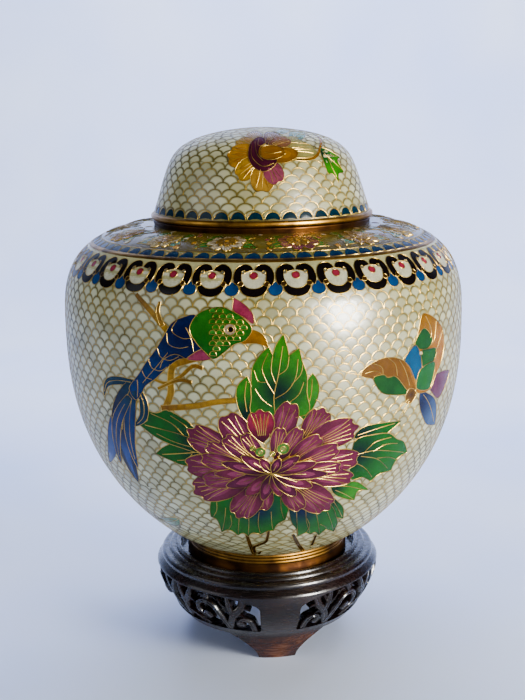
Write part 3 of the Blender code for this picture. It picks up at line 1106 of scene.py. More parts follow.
@dataclass
class JarPicture:
    """The bird, the peony, the butterfly, the ruyi band and the flowered shoulder of the jar."""

    picture: Picture

    def belt(self, low: float, high: float) -> Path:
        """Outline of a belt that goes round the jar between two lengths along the profile.

        Args:
            low: The lower length.
            high: The upper length.

        Returns:
            The closed outline.
        """
        edge = 179.9 * self.picture.mm_per_degree
        along = np.linspace(-edge, edge, 181)
        strips = [np.column_stack([along, 0 * along + s]) for s in (low, high)]
        return np.vstack([strips[0], strips[1][::-1]])

    def ruyi_band(self, heads: int = 32, first: float = -2.5) -> None:
        """Draws the belt of ruyi heads with a blue lobe between each two, and its red dots.

        Args:
            heads: How many heads go round.
            first: The first one's angle.
        """

        def whole(half: Sequence[Sequence[float]]) -> Path:
            """A rounded outline from its right half, which starts and ends on its middle line."""
            return smooth([*half, *((-p[0], *p[1:]) for p in half[-2:0:-1])], True, 3)

        scale = self.picture.chart.radius(np.array([31]))[0] * math.pi / 180
        stretch = self.picture.mm_per_degree / scale
        lobe = whole([(0, 29.3, 1), (1.7, 28), (2.7, 26.3), (2, 24.4), (0, 23.6)])
        heart = whole([(0, 34.2), (2, 34.8), (4, 34.8), (5.4, 33), (5.2, 30.6), (4.4, 28.4), (2.8, 26.8),
            (0, 25.7)])
        cup = smooth([(5, 27), (3.5, 24.3), (0, 23.2), (-3.5, 24.3), (-5, 27), (-3.6, 27.9), (-2.2, 26.9),
            (0, 26.4), (2.2, 26.9), (3.6, 27.9)], True, 3)
        curl = smooth([(1.8, 33.7), (2.4, 35.2), (4.1, 35.5), (5.6, 34.1), (6.1, 31.9), (5.9, 29.8),
            (5.3, 28.3)], False, 4)
        self.picture.fill(self.belt(29, 38), "band", "#A69E68", wired=False)
        for i in range(heads):
            middle = self.picture.at(first + i * 360 / heads, 0)[0]
            between = self.picture.at(first + (i + 0.5) * 360 / heads, 0)[0]

            def put(path: Path, tint: str, glow: str | None = None, base: float = middle) -> None:
                """Fills a path of this head."""
                self.picture.fill(path * (stretch, 1) + (base, 0), "band", tint, glow)

            put(lobe, Palette.lake, Palette.blue, between)
            put(heart, Palette.cream)
            put(cup, Palette.ink)
            put(disc((0, 31.8), 1.6), Palette.red, "#8E2438")
            for side in (1, -1):
                path = curl * (side, 1)
                put(strip(path, lambda t: 3.3 - 0.4 * np.sin(math.pi * t) ** 2 - 0.5 * t**6), Palette.ink)
                put(disc((side * 3.9, 33.2), 0.7, 9), "#6A6A58")
                put(disc((side * 4.7, 28.3), 1, 9), Palette.bark)

    def peony(self) -> None:
        """Draws the large peony with its two green hearts."""
        brush = Brush(self.picture, "peony")
        eye = (1.6, -46.5)
        outer = (((2, -36), (6.6, -16.6), 9.5, 2, 0), ((9, -34), (14.9, -20.2), 10.5, 3, -0.05),
            ((8, -38), (24.4, -28.6), 12.5, 3, 0.05), ((6, -43), (26.4, -43.8), 11.5, 2, 0),
            ((6, -47), (25.8, -53.6), 9.5, 2, 0), ((5, -50), (20.6, -69.5), 14, 3, 0),
            ((4, -52), (11, -67.8), 9, 2, 0), ((0, -51), (-1.4, -67), 8.5, 2, 0),
            ((-1, -50), (-9.6, -71.8), 13, 3, 0), ((-3, -47), (-21.8, -59), 15, 3, 0),
            ((-5, -44), (-22.6, -45), 12, 2, 0), ((-6, -38), (-20.4, -29.2), 12.5, 3, 0.05),
            ((-3, -36), (-10.2, -21.4), 11.5, 2, 0.05))
        for root, tip, width, lobes, bend in outer:
            brush.petal(root, tip, width, lobes, bend=bend)
        brush.petal((-0.8, -33), (-1.4, -19.4), 10, 3, "#8E1C38", Palette.wine, "#A83A2A")
        middle = (((-15.8, -34.5), 8), ((-10.6, -30.5), 8), ((-5.6, -29), 6), ((3.8, -26.6), 6),
            ((8.8, -27.2), 6.5), ((14.4, -31.6), 8), ((19.6, -37), 8.5), ((21, -46.5), 7.5),
            ((-17.6, -40.5), 8), ((-18, -51.5), 9))
        for tip, width in middle:
            root = (eye[0] + (tip[0] - eye[0]) * 0.3, eye[1] + (tip[1] - eye[1]) * 0.3)
            brush.petal(root, tip, width, 2, "#722440")
        rosette = (((-14.5, -47.5), 5.5), ((-11.5, -53.5), 6), ((-6, -58), 6), ((-1.2, -60.5), 5.2),
            ((4, -58.5), 5), ((8.6, -58.8), 5.8), ((13.2, -54.5), 5.8), ((17.2, -48.5), 5.5),
            ((13.5, -42.5), 5.2), ((-12, -42), 5.2), ((-6.5, -38.5), 5), ((8.8, -39), 4.6),
            ((-1.5, -39.5), 3.8), ((3.6, -39.5), 3.8))
        for i, (tip, width) in enumerate(rosette):
            brush.petal(eye, tip, width, 1, Palette.mauve if i % 2 else Palette.rose)
        for angle, s, radius in ((-1.4, -36.8, 2), (4.5, -35.6, 2.4), (1.7, -37.8, 1.1),
            (-3.4, -35.2, 1.1)):
            brush.dot((angle, s), radius, Palette.green, "#5E9438")
            brush.dot((angle, s), radius * 0.45, "#8A9A48", sides=9)

    def peony_leaves(self) -> None:
        """Draws the leaves behind the peony, dark teal by the petals and green at their tips."""
        brush = Brush(self.picture, "leaves")
        green, lime, pine = (Palette.green, Palette.lime, Palette.pine)
        # The tall cluster over the flower: two side leaflets, then the middle one with its five tips
        brush.field([(-5.4, -23), (-7.1, -16), (-6.8, -10), (-4.3, -6, 1), (-3, -12), (-2.6, -22)], lime,
            pine, (-4.6, -21), 12)
        brush.field([(9, -23), (9.6, -12), (11.8, -5.6, 1), (13.3, -9.5), (13.3, -15), (11, -22)], lime,
            green, (10, -21), 9)
        brush.wires([(-4.6, -20), (-5, -14), (-4.5, -8)], [(10.4, -20), (11.5, -14), (11.7, -8)])
        brush.field([(-2.6, -22), (-3.4, -14), (-3.4, -7), (-2.8, -2), (-0.6, 2.6), (1.2, 5, 1),
            (2, 1.6, 1), (2.8, 5.6), (4.7, 9.6, 1), (5.5, 5.4), (6, 1.4, 1), (8.5, 4.2, 1), (9.3, -1),
            (10.4, -6), (10.4, -13), (10.2, -22)], lime, pine, (3.4, -12.5), 16.5)
        brush.wires([(2.4, -21), (2.2, -14), (3.3, -6), (4.5, 5)],
            [(2.2, -13), (0.4, -8), (-0.6, -3), (0.9, 2.5)], [(2.4, -15), (5.6, -12), (7.6, -7), (8.2, 0)],
            [(3.2, -6), (5.4, -3.6), (6, 1)], [(2.6, -9), (1.6, -4), (2, 1.4)],
            [(0.4, -8.5), (-1.6, -8), (-2.6, -4)], [(1.6, -18), (-0.8, -15), (-2.4, -11)],
            [(5, -17.5), (8.2, -14), (9.6, -9)], [(6.6, -9.6), (8.8, -6), (9.4, -2)])
        # The leaf to the left, with an upper and a lower lobe
        brush.field([(-17, -41), (-19.5, -42.5), (-23, -45), (-27, -43.6), (-31.8, -41.4, 1), (-28, -37),
            (-22, -34)], green, pine, (-18, -38), 14)
        brush.field([(-16, -38), (-24, -36.5), (-30, -34), (-36.4, -28.6, 1), (-32.5, -27),
            (-32.8, -22.6, 1), (-29, -23), (-26, -21.2), (-22, -23.5), (-19, -27)], green, pine, (-18, -33),
            15)
        brush.wires([(-18, -33), (-24, -30.5), (-33.5, -29)], [(-22, -31), (-25, -26.5), (-31, -23.6)],
            [(-20, -31), (-21, -27), (-25, -23.4)], [(-18, -38), (-23, -39.4), (-29.5, -41.2)],
            [(-20, -36), (-25, -34.5), (-30, -32)], [(-20, -39), (-22, -42), (-25, -43)])
        # The leaves to the right, the upper lobes first
        brush.field([(24, -34), (26, -30), (31, -29.4), (39.4, -30.6, 1), (35, -34.4), (30, -36)], green,
            pine, (26.5, -33), 12)
        brush.field([(24, -36), (30, -34), (35.5, -35), (39, -38.5), (42.4, -41), (45.6, -47, 1),
            (41.5, -49), (40.6, -54.5, 1), (36, -54.5), (33, -57.5, 1), (29.5, -54), (25, -53)], green,
            pine, (26, -42), 15)
        brush.wires([(25, -33), (31, -31.6), (37, -31)], [(25, -42), (32, -41.6), (43.5, -46.4)],
            [(27.5, -42), (31, -37.6), (36.5, -37)], [(31, -41.8), (35, -39.8), (39.6, -40.8)],
            [(27, -43), (33, -46), (38.5, -52.5)], [(26, -46), (29.5, -49.5), (33, -55)],
            [(33, -45.6), (37.5, -46.6), (41, -49)])
        brush.field([(19, -54), (23.5, -55), (28, -56), (34.2, -62.6, 1), (29.5, -61.6), (29.6, -67, 1),
            (24.5, -64), (20.5, -60)], lime, pine, (21, -57), 10)
        brush.field([(20, -62), (23.5, -66), (26.5, -71), (28.8, -79, 1), (24.5, -76), (21, -71)], green,
            pine, (20.5, -65), 9)
        brush.wires([(21, -56), (26, -58), (32, -61.8)], [(21, -58.5), (25, -62), (28.8, -66)],
            [(21.5, -65), (24.5, -71), (27.6, -77)])
        # The skirt under the flower, in two groups of broad lobes
        brush.field([(-12, -58), (-16, -60), (-18.2, -66), (-19.2, -73, 1), (-17.2, -75.6),
            (-17.6, -84.6, 1), (-14, -82), (-11.4, -86.4, 1), (-9, -84), (-7.4, -87, 1), (-5.4, -83.6),
            (-2.4, -84.8, 1), (0.4, -82), (2.4, -82, 1), (3.6, -77), (6.2, -74, 1), (7, -66), (7.4, -58)],
            green, Palette.navy, (-3, -66), 17)
        brush.field([(6.8, -60), (7.4, -70), (8.6, -76.6), (10.6, -81), (12.2, -88.6, 1), (15, -86),
            (17.4, -88, 1), (19, -86.4), (21.8, -90, 1), (23.6, -86), (28.4, -89.4, 1), (27.4, -82),
            (25, -76), (22, -69), (18, -64)], green, Palette.navy, (11.5, -68), 18)
        brush.wires([(-15.4, -62), (-16.2, -68), (-18, -72.4)], [(-13, -66), (-14.4, -74), (-16.8, -82.6)],
            [(-9, -70), (-10, -78), (-11, -84.6)], [(-5.8, -70), (-6.4, -78), (-7.2, -85)],
            [(-2.4, -68), (-3, -76), (-2.6, -83)], [(1.4, -68), (1.6, -75), (2, -80.4)],
            [(4.2, -60), (4.6, -67), (5.6, -72.8)], [(-12, -71), (-12.4, -77), (-14, -81)],
            [(9.4, -66), (10.4, -76), (12, -86.6)], [(12.4, -67), (14, -77), (17, -86.4)],
            [(15.4, -67), (18.4, -78), (21.4, -88)], [(18.4, -66), (22.4, -76), (27.4, -87.4)],
            [(13.6, -74), (15.6, -80), (15.2, -85)], [(19.6, -80), (22.6, -83), (23.6, -85)])
        brush.leaf((-34, -79), (-51, -86), 7, 0.1, "#8C9A78", "#6E8A62", 2)

    def twigs(self) -> None:
        """Draws the brown twigs by the bird and under the flower."""
        brush = Brush(self.picture, "leaves")
        for places, start, end in ((((-35, 22.5), (-29.5, 16.5), (-24, 9)), 1.4, 2.8),
            (((-27.2, 20.5), (-27.6, 16.5), (-26, 11.5)), 0.9, 2), (((-16, 0.6), (-20, -1.2), (-23.4, -3.6),
            (-24.2, -9.5), (-24.4, -14.5), (-26.2, -20.4)), 2.6, 2.6), (((-15.4, -3.6), (-18, -3),
            (-21.4, -7.4), (-25.4, -10.4), (-29, -9.4)), 1.6, 1),
            (((-18.4, -9.4), (-21, -8.6), (-24, -10), (-28, -13)), 1.4, 1),
            (((-27.5, -20.8), (-18, -18.6), (-12, -16.4), (-5.6, -15.4)), 2.4, 2)):
            brush.twig(places, start, end, "#A87A10", Palette.ochre)
        for places, start, end in ((((-8, -118), (-7.6, -102), (-7.8, -84)), 3.8, 1.8), (((-6.6, -108),
            (-6.4, -99), (-3.2, -95), (-0.4, -91.5), (0.6, -82)), 2.6, 1.4),
            (((10, -86), (15.5, -100), (24, -114)), 1.6, 3.2), (((20.4, -90), (21.4, -97), (22.6, -102)),
            1.4, 2.4), (((-5.2, -110), (-3, -104)), 2.4, 1.2)):
            brush.twig(places, start, end, "#4A3008", Palette.bark)

    def bird(self) -> None:
        """Draws the long-tailed bird with its green head, blue back and navy tail feathers."""
        brush = Brush(self.picture, "bird")
        navy, blue, teal = (Palette.navy, Palette.blue, Palette.teal)
        feathers = ((((-34, -12), (-41.5, -12.4), (-46.2, -14.8), (-48.2, -20.6)), 3.4, teal),
            (((-34.5, -14), (-33, -20), (-33.8, -26), (-37.4, -30.4)), 4.2, teal),
            (((-38.5, -18), (-46, -33), (-51, -45), (-58, -55)), 7, "#163A7A"),
            (((-36.5, -14), (-41.4, -28), (-43.6, -42), (-44.2, -60)), 13, navy),
            (((-36, -15), (-38.4, -26), (-40.2, -38), (-40.8, -51)), 6, blue),
            (((-37.5, -18), (-43.6, -29), (-46.8, -40), (-49, -52)), 5.4, "#10285E"))
        for places, width, tint in feathers:
            path = brush.opened(places)
            outline = strip(path, lambda t, w=width: w * np.sin(math.pi * (0.12 + 0.88 * t))**0.75 + 0.05)
            self.picture.fill(outline, "bird", tint, teal, tuple(path[0]), 14)
            self.picture.vein(path[2:-2], "bird")
            if width > 6.5:
                end = strip(path[-9:-1], lambda t,
                    w=width: w * 0.62 * np.sin(math.pi * (0.1 + 0.8 * t))**0.8 * (1.1 - t))
                self.picture.fill(end, "bird", "#22407C", tint, tuple(path[-9]), 14, False)
        brush.field([(-16.5, 15.9), (-20.6, 15.2), (-23.6, 12.6), (-25.6, 8), (-28, 2.6), (-31.4, -3.4),
            (-34, -8.6), (-37.4, -14.6), (-35.4, -19), (-33.2, -15.6), (-31.6, -12.4), (-28.4, -9),
            (-25, -4.4), (-21.4, -0.6), (-16.5, 0.6), (-13.5, 6)], blue, navy, (-20, 7), 24)
        brush.wires([(-24.6, 1.6), (-27.6, -3.6), (-32.6, -11.4)],
            [(-19.8, -0.2), (-22.6, 1.2), (-25.8, -1.2), (-27, -4.6)],
            [(-22, 14), (-23.4, 10), (-20.4, 7.4), (-17.4, 8)],
            [(-24.8, 9), (-24.4, 5), (-21.6, 3.6), (-19, 4.4)],
            [(-27.6, 3), (-26.8, -0.2), (-24.2, -1.4), (-21.6, 0.4)],
            [(-30.4, -2), (-29.4, -5), (-27, -5.8), (-25, -4)], [(-32.6, -6.6), (-31.6, -9), (-29.6, -9.6)],
            [(-19.6, 11.6), (-18.2, 7.6), (-17.6, 2.6)], [(-34.4, -10.6), (-34.4, -14), (-34.8, -17.6)])
        brush.field([(-19.4, -0.4), (-18, 1.6), (-15.6, 3.6), (-13.4, 3), (-13, 0.4), (-16, -0.8)],
            "#A84A5E", "#8E2E48")
        brush.field([(-2.6, 13.4), (-5, 16), (-7.6, 18.6), (-7.5, 23.2, 1), (-4.8, 20.8), (-2.6, 17)],
            "#A8485A", "#8E2440")
        brush.field([(-5.8, 11), (-2.4, 11.2), (0.2, 8.6), (1, 4.6, 1), (-2, 6.2), (-5.8, 6.4)],
            Palette.amber, Palette.ochre)
        head = [(-18.6, 11), (-17, 16), (-14.4, 18.4), (-11, 19.6), (-7.6, 18), (-4.6, 15), (-2.9, 11.4)]
        head += [(-4.6, 7.4), (-7.4, 5.8), (-9.4, 3.2), (-12.4, 0.2), (-14.6, 2.6), (-17, 6.4)]
        brush.field(head, "#226814", "#145608", (-14, 6), 14)
        outline = brush.closed(head)
        rng = random.Random(5)
        for row in range(9):
            for column in range(6):
                centre = np.array(self.picture.at(-12.6 + column * 1.7 + 0.85 * (row % 2), 1.8 + row * 2))
                turn = np.linspace(-0.3, math.pi + 0.3, 7)
                scale = np.column_stack([centre[0] + 1.3 * np.cos(turn), centre[1] + 1.35 * np.sin(turn)])
                if inside(outline, scale).all():
                    light, deep = rng.choice((("#2C7C18", "#185E0C"), ("#3C862A", "#226C14"), ("#247010",
                        "#105206")))
                    self.picture.fill(scale, "bird", light, deep, tuple(centre), 1.6)
        brush.dot((-8.3, 11.4), 2.1, "#9A8468", "#B09A7A")
        brush.dot((-8.1, 11.4), 1.1, Palette.ink, sides=10)

    def butterfly(self) -> None:
        """Draws the butterfly, in ochre, green, blue and rose."""
        brush = Brush(self.picture, "butterfly")
        green, ochre, amber = (Palette.green, Palette.ochre, Palette.amber)
        brush.field([(45.6, -20.5), (49.5, -22), (54, -26), (56.8, -32), (58.6, -39.5, 1), (52.5, -37),
            (49, -32.5), (46.4, -27)], "#2E4A72", Palette.navy, (47.5, -26), 14)
        brush.field([(48.5, -17), (54, -15), (62, -16.4), (60.6, -22), (56.5, -26.6), (52, -23)], "#7C5062",
            Palette.mauve)
        brush.field([(45.4, 10.8), (48.5, 10.4), (52.5, 7), (56, 2), (56.8, -5), (55.4, -11), (52.4, -16),
            (50.5, -20.6), (45, -20.6), (43, -17.5), (41, -12), (38.8, -5), (42.2, -0.5), (43.6, 4)],
            "#A4660E", ochre, (48, 6), 16)
        brush.field([(42.4, -0.8), (44, 3.6), (46.4, 5.4), (49.6, 1.6), (50, -1.2), (47, -3.2)], green,
            "#0E4A14")
        brush.field([(45, -3.6), (48.4, -3.4), (52.4, -4.4), (51.6, -8.6), (48.4, -10.4), (45.6, -9.4)],
            "#0E500C")
        brush.field([(38.6, -5), (42.4, -0.4), (44.6, -4), (45.6, -10), (44.4, -15.4), (42.2, -13),
            (40.4, -8.6)], Palette.lake, "#06486E")
        brush.field([(45.2, -10.6), (51.6, -9.6), (51.4, -16), (49.8, -20.2), (45, -19.2), (43.6, -16.6)],
            "#1E6A38", green)
        brush.dot((45, -4.2), 0.9, Palette.cream, sides=9)
        brush.field([(24.6, -8.6), (26.6, -5.2), (31.6, -3), (37, -4.6), (41, -9.6), (43.8, -18.6),
            (40.4, -18.6), (37, -15.6), (31, -13), (28, -10.4)], ochre, "#6E4406")
        brush.field([(28.4, -10.4), (31.6, -9.6), (33, -11), (35.6, -11.2), (38.6, -15.6), (40.4, -19.4),
            (35, -18.6), (31, -16.4)], green, "#0E4A14")
        brush.field([(41, -17.6), (43, -18.4), (44.2, -20.6), (42.4, -23.8), (40.2, -23.2), (39.8, -20)],
            amber, Palette.bark)
        brush.wires([(28.4, -4.6), (31, -6.6), (31.4, -9.6)], [(33, -3.4), (35.4, -6.4), (36.2, -11)],
            [(36.8, -5), (39, -9.6), (41, -16.2)], [(26, -8), (29, -7.6), (31, -9.4)],
            [(47, 10), (49.6, 4), (49.4, 1)], [(52, 7), (51.4, 0.4), (49.6, -2.4)],
            [(55.6, 2), (53.4, -3), (52, -5.4)], [(41.2, -22), (38, -24.6), (35, -25.4)],
            [(41.6, -23), (38.6, -28.6), (38.8, -33.6)], [(47.4, -22), (51, -27), (56.6, -37)],
            [(17.4, -1.4), (18.2, 1.2), (20.4, 1.8), (22.4, -0.6), (21.2, -3.4), (19.4, -2.6),
            (19.8, -0.6)], [(17.4, -1.4), (18.4, -4.6), (20.6, -6.6), (25, -8.4)])

    def shoulder(self, sprays: int = 14) -> None:
        """Draws the ring of blossoms and leaves on the dark shoulder.

        Args:
            sprays: How many blossoms stand in the ring.
        """
        brush = Brush(self.picture, "shoulder")
        high = float(self.picture.chart.s[-1]) - 1.2
        self.picture.fill(self.belt(44.2, high), "shoulder", Palette.olive)
        rng = random.Random(11)
        petals = (Palette.rose, "#8E6A34", "#B8AA88", "#7E4A3E", Palette.rose, "#A8923E", "#B8AA88")
        # The ring's radius is 66 mm, against 86.7 where a degree is mm_per_degree wide
        wide = 1 / self.picture.mm_per_degree * 86.7 / 66
        for i in range(sprays):
            angle = (i + 0.5) * 360 / sprays - 180
            for sign in (1, -1):
                for k in range(3):
                    tip = (angle + sign * wide * (11.5 + rng.uniform(-1, 1)), 47 + 6 * k)
                    brush.leaf((angle + sign * wide * 3, 51 + 3 * k), tip, 6.4, 0.1 * sign, veins=2)
            size = 7.6 + rng.uniform(-0.6, 0.8)
            brush.blossom((angle, 53), size, wide, 8, petals[i % len(petals)], 0.3 * i)
            for k in range(5):
                place = (angle + 180 / sprays + rng.uniform(-5, 5), 47 + 4.4 * k)
                tint = rng.choice(("#B8AA88", Palette.amber, Palette.cream, Palette.rose))
                brush.dot(place, 1.5, tint, sides=8)

    def back_spray(self) -> None:
        """Draws a lighter spray of leaves and small blossoms behind, in keeping with the front."""
        brush = Brush(self.picture, "back")
        stem = ((150, -96), (158, -70), (172, -46), (186, -28), (206, -14))
        brush.twig(stem, 2.8, 1.4, Palette.ochre)
        brush.twig(((172, -46), (168, -28), (158, -12)), 2, 1.2, Palette.ochre)
        knots = ((160, -64), (166, -54), (180, -36), (193, -22), (165, -20), (200, -17))
        for k, (angle, s) in enumerate(knots):
            sign = 1 if k % 2 else -1
            brush.leaf((angle, s), (angle + sign * 12, s + 10), 8, 0.15 * sign)
            brush.leaf((angle, s), (angle - sign * 10, s + 13), 7, -0.15 * sign)
        for place, size in (((158, -8), 9), ((208, -11), 10), ((184, -50), 14)):
            brush.blossom(place, size, 1 / self.picture.mm_per_degree, 9, Palette.rose)

    def draw(self) -> None:
        """Draws everything, from what lies lowest to what lies over it."""
        self.picture.domes("belt", 70, 2.2, (0.47, 4.1), 40.0, Palette.navy, 40.0)
        self.ruyi_band()
        self.shoulder()
        self.twigs()
        self.peony_leaves()
        self.peony()
        self.bird()
        self.butterfly()
        self.back_spray()


@dataclass
class Shell:
    """A hollow turned body of enamel on copper: what the jar and the lid share."""

    wall: float = 2.0
    glaze: float = -0.15
    zones: tuple[ScaleZone, ...] = ()
    pitch: float = 1.7
    inner_step: int = 3
    chart: Chart = field(init=False, repr=False)

    def skins(self, start: float) -> tuple[list[float], list[Point], list[Point]]:
        """Works out both faces of the wall.

        Args:
            start: Where they start along the profile.

        Returns:
            The lengths along the profile, and the places of the outer and the inner face.
        """
        chart = self.chart
        marks = sorted({start, chart.s[-1], *(mark for zone in self.zones for mark in (zone.low, zone.high))})
        lengths = [marks[0]]
        for low, high in zip(marks, marks[1:]):
            lengths += list(np.linspace(low, high, max(1, round((high - low) / self.pitch)) + 1)[1:])
        rows = (chart.r, chart.z, chart.out_r, chart.out_z)
        r, z, out_r, out_z = (np.interp(lengths, chart.s, row) for row in rows)
        outer, inner = (list(zip(r + far * out_r, z + far * out_z)) for far in (self.glaze, -self.wall))
        return lengths, outer, inner[:: self.inner_step]


@dataclass
class Jar(Shell):
    """The jar: enamel body, gilt foot ring, gilt collar and neck. Sizes as in the solid."""

    radius: float = 86.7
    bottom: float = 39.0
    foot_radius: float = 35.8
    foot_spread: float = 0.7
    foot_height: float = 9.2
    foot_ring_width: float = 3.0
    base_recess: float = 6.4
    lower_height: float = 98.8
    upper_height: float = 41.8
    neck_radius: float = 40.5
    neck_height: float = 12.0
    shoulder_step: float = 3.5
    collar_height: float = 2.2
    collar_radius: float = 47.09
    rolls: int = 3
    roll_height: float = 4.2
    lower_powers: Point = (2.44, 1.23)
    upper_powers: Point = (3.08, 2.44)
    facets: int = 224
    metal_facets: int = 128
    ring_section: tuple[Point, ...] = (
        (38.0, -0.3), (38.1, 0.1), (38.5, 0.22), (39.4, 0.22), (39.8, 0.1), (39.9, -0.3),
    )
    zones: tuple[ScaleZone, ...] = (
        ScaleZone(-117.0, -109.0, 42, 3), ScaleZone(-109.0, -91.0, 54, 6),
        ScaleZone(-91.0, -61.0, 72, 9), ScaleZone(-61.0, 29.0, 90, 28),
    )

    def __post_init__(self) -> None:
        """Works out the heights and the unrolled profile."""
        self.foot_top = self.bottom + self.foot_height
        self.widest = self.foot_top + self.lower_height
        self.shoulder_top = self.widest + self.upper_height
        turn = np.linspace(0.0, math.pi / 2, 500)
        lower = self.widest - self.lower_height * np.cos(turn)
        upper = self.widest + self.upper_height * np.sin(turn)
        heights = np.concatenate([lower, upper[1:]])
        self.chart = Chart(np.array([(self.radius_at(z), z) for z in heights]), self.widest)

    def radius_at(self, z: float) -> float:
        """Outer radius at a height.

        Args:
            z: The height.

        Returns:
            The radius.
        """
        low = z < self.widest
        share = min(1.0, abs(z - self.widest) / (self.lower_height if low else self.upper_height))
        inner = self.foot_radius if low else self.neck_radius + self.shoulder_step
        power, root = self.lower_powers if low else self.upper_powers
        return inner + (self.radius - inner) * max(0.0, 1.0 - share**power) ** (1.0 / root)

    def build(self, pearl: Finish, gilt: Finish, gilt_in_deep_shade: Finish) -> None:
        """Builds the body, its foot ring and its collar with the neck.

        Args:
            pearl: The ground enamel.
            gilt: The gilded metal.
            gilt_in_deep_shade: Near-black brown metal, painted shade, for the collar under the lid and the
                band low in the seat.
        """
        lengths, outer, inner = self.skins(self.chart.s[0])
        floor = self.bottom + self.base_recess + self.wall
        mouth, neck, collar = self.neck_radius - self.wall, self.neck_radius, self.collar_radius
        inner = [(a, b) for a, b in inner if a > mouth + 3 and b > self.foot_top + self.wall]
        top, neck_top = self.shoulder_top, self.shoulder_top + self.neck_height
        outline = [*outer, (mouth, top + self.glaze), (mouth, top - self.wall), *reversed(inner)]
        outline += [(self.foot_radius - self.wall, floor), (0.0, floor), (0.0, floor - self.wall)]
        outline.append((self.foot_radius - 1.0, floor - self.wall))
        body = turned("jar_enamel", outline, self.facets, pearl, self.zones, lengths)
        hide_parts("jar")
        self.foot_ring(gilt, gilt_in_deep_shade)
        rim = top + self.collar_height
        root = float(np.interp(self.chart.at_radius(collar), self.chart.s, self.chart.z))
        section = [(mouth, top - 1.0), (neck, top - 1.0), (collar - 0.4, root - 0.4)]
        section += arc((collar - 0.5, rim - 0.5), (0.5, 0.5), -0.6, math.pi / 2, 5)
        section += [(neck + 0.4, rim), (neck, rim + 0.4), (neck, neck_top - 0.4), (neck - 0.4, neck_top)]
        # The collar's near-black brown metal is painted shade under the lid's rim
        turned("jar_collar", [*section, (mouth, neck_top)], self.metal_facets, gilt_in_deep_shade)

    def foot_ring(self, gilt: Finish, gilt_in_deep_shade: Finish) -> None:
        """Builds the foot ring: three darker gilt rolls over a plain band of near-black brown metal, both
        painted shade low in the stand's seat.

        Args:
            gilt: The gilded metal.
            gilt_in_deep_shade: The near-black brown metal, painted shade.
        """
        foot, low = self.foot_radius + self.foot_spread, self.bottom
        back, split = foot - self.foot_ring_width, self.foot_top - self.roll_height
        band = [(back, low), (foot - 0.3, low), (foot, low + 0.3), (foot, low + 1.6), (foot - 0.3, low + 2.0)]
        band += [(foot - 0.5, split), (back, split)]
        # The plain band's near-black brown metal is painted shade, low in the stand's seat
        turned("jar_foot_band", band, self.metal_facets, gilt_in_deep_shade)
        rolls = [(back, split), (foot - 0.6, split)]
        pitch = self.roll_height / self.rolls
        for k in range(self.rolls):
            for t in np.linspace(0.0, math.pi, 6):
                z = split + pitch * (k + (1 - math.cos(t)) / 2)
                rolls.append((foot - 0.7 - 0.12 * k + 0.45 * math.sin(t), z))
        rolls += [(self.foot_radius - 0.5, self.foot_top + 0.3), (back, self.foot_top)]
        turned("jar_foot_ring", rolls, self.metal_facets, gilt)

    def shoulder_ring(self, gilt: Finish) -> None:
        """Builds the plain gilt ring between the band and the teal scales.

        Args:
            gilt: The gilded metal.
        """
        s, height = np.array(self.ring_section).T
        places = self.chart.place(np.full(len(s), 90.0), s, self.glaze + height) / MM
        turned("shoulder_ring", places[:, [0, 2]], self.facets, gilt)

    def paint(self, enamel: Finish, gilt: Finish) -> None:
        """Adds the picture and the scale ground.

        Args:
            enamel: The coloured enamel.
            gilt: The wires.
        """
        widths = {"band": 0.26, "leaves": 0.32, "peony": 0.28, "bird": 0.24, "butterfly": 0.32}
        picture = Picture(self.chart, 1.45, self.glaze, widths | {"shoulder": 0.46})
        JarPicture(picture).draw()
        names = {"belt": "shoulder_scales", "band": "ruyi_band", "shoulder": "shoulder_flowers"}
        names |= {"leaves": "peony_leaves", "peony": "peony", "bird": "bird", "butterfly": "butterfly"}
        picture.make(names | {"back": "back_spray"}, enamel, gilt)
        ground = ScaleGround(picture)
        ground.make("ground_wires_low", self.zones[:3], gilt)
        ground.make("ground_wires_belly", self.zones[3:], gilt)


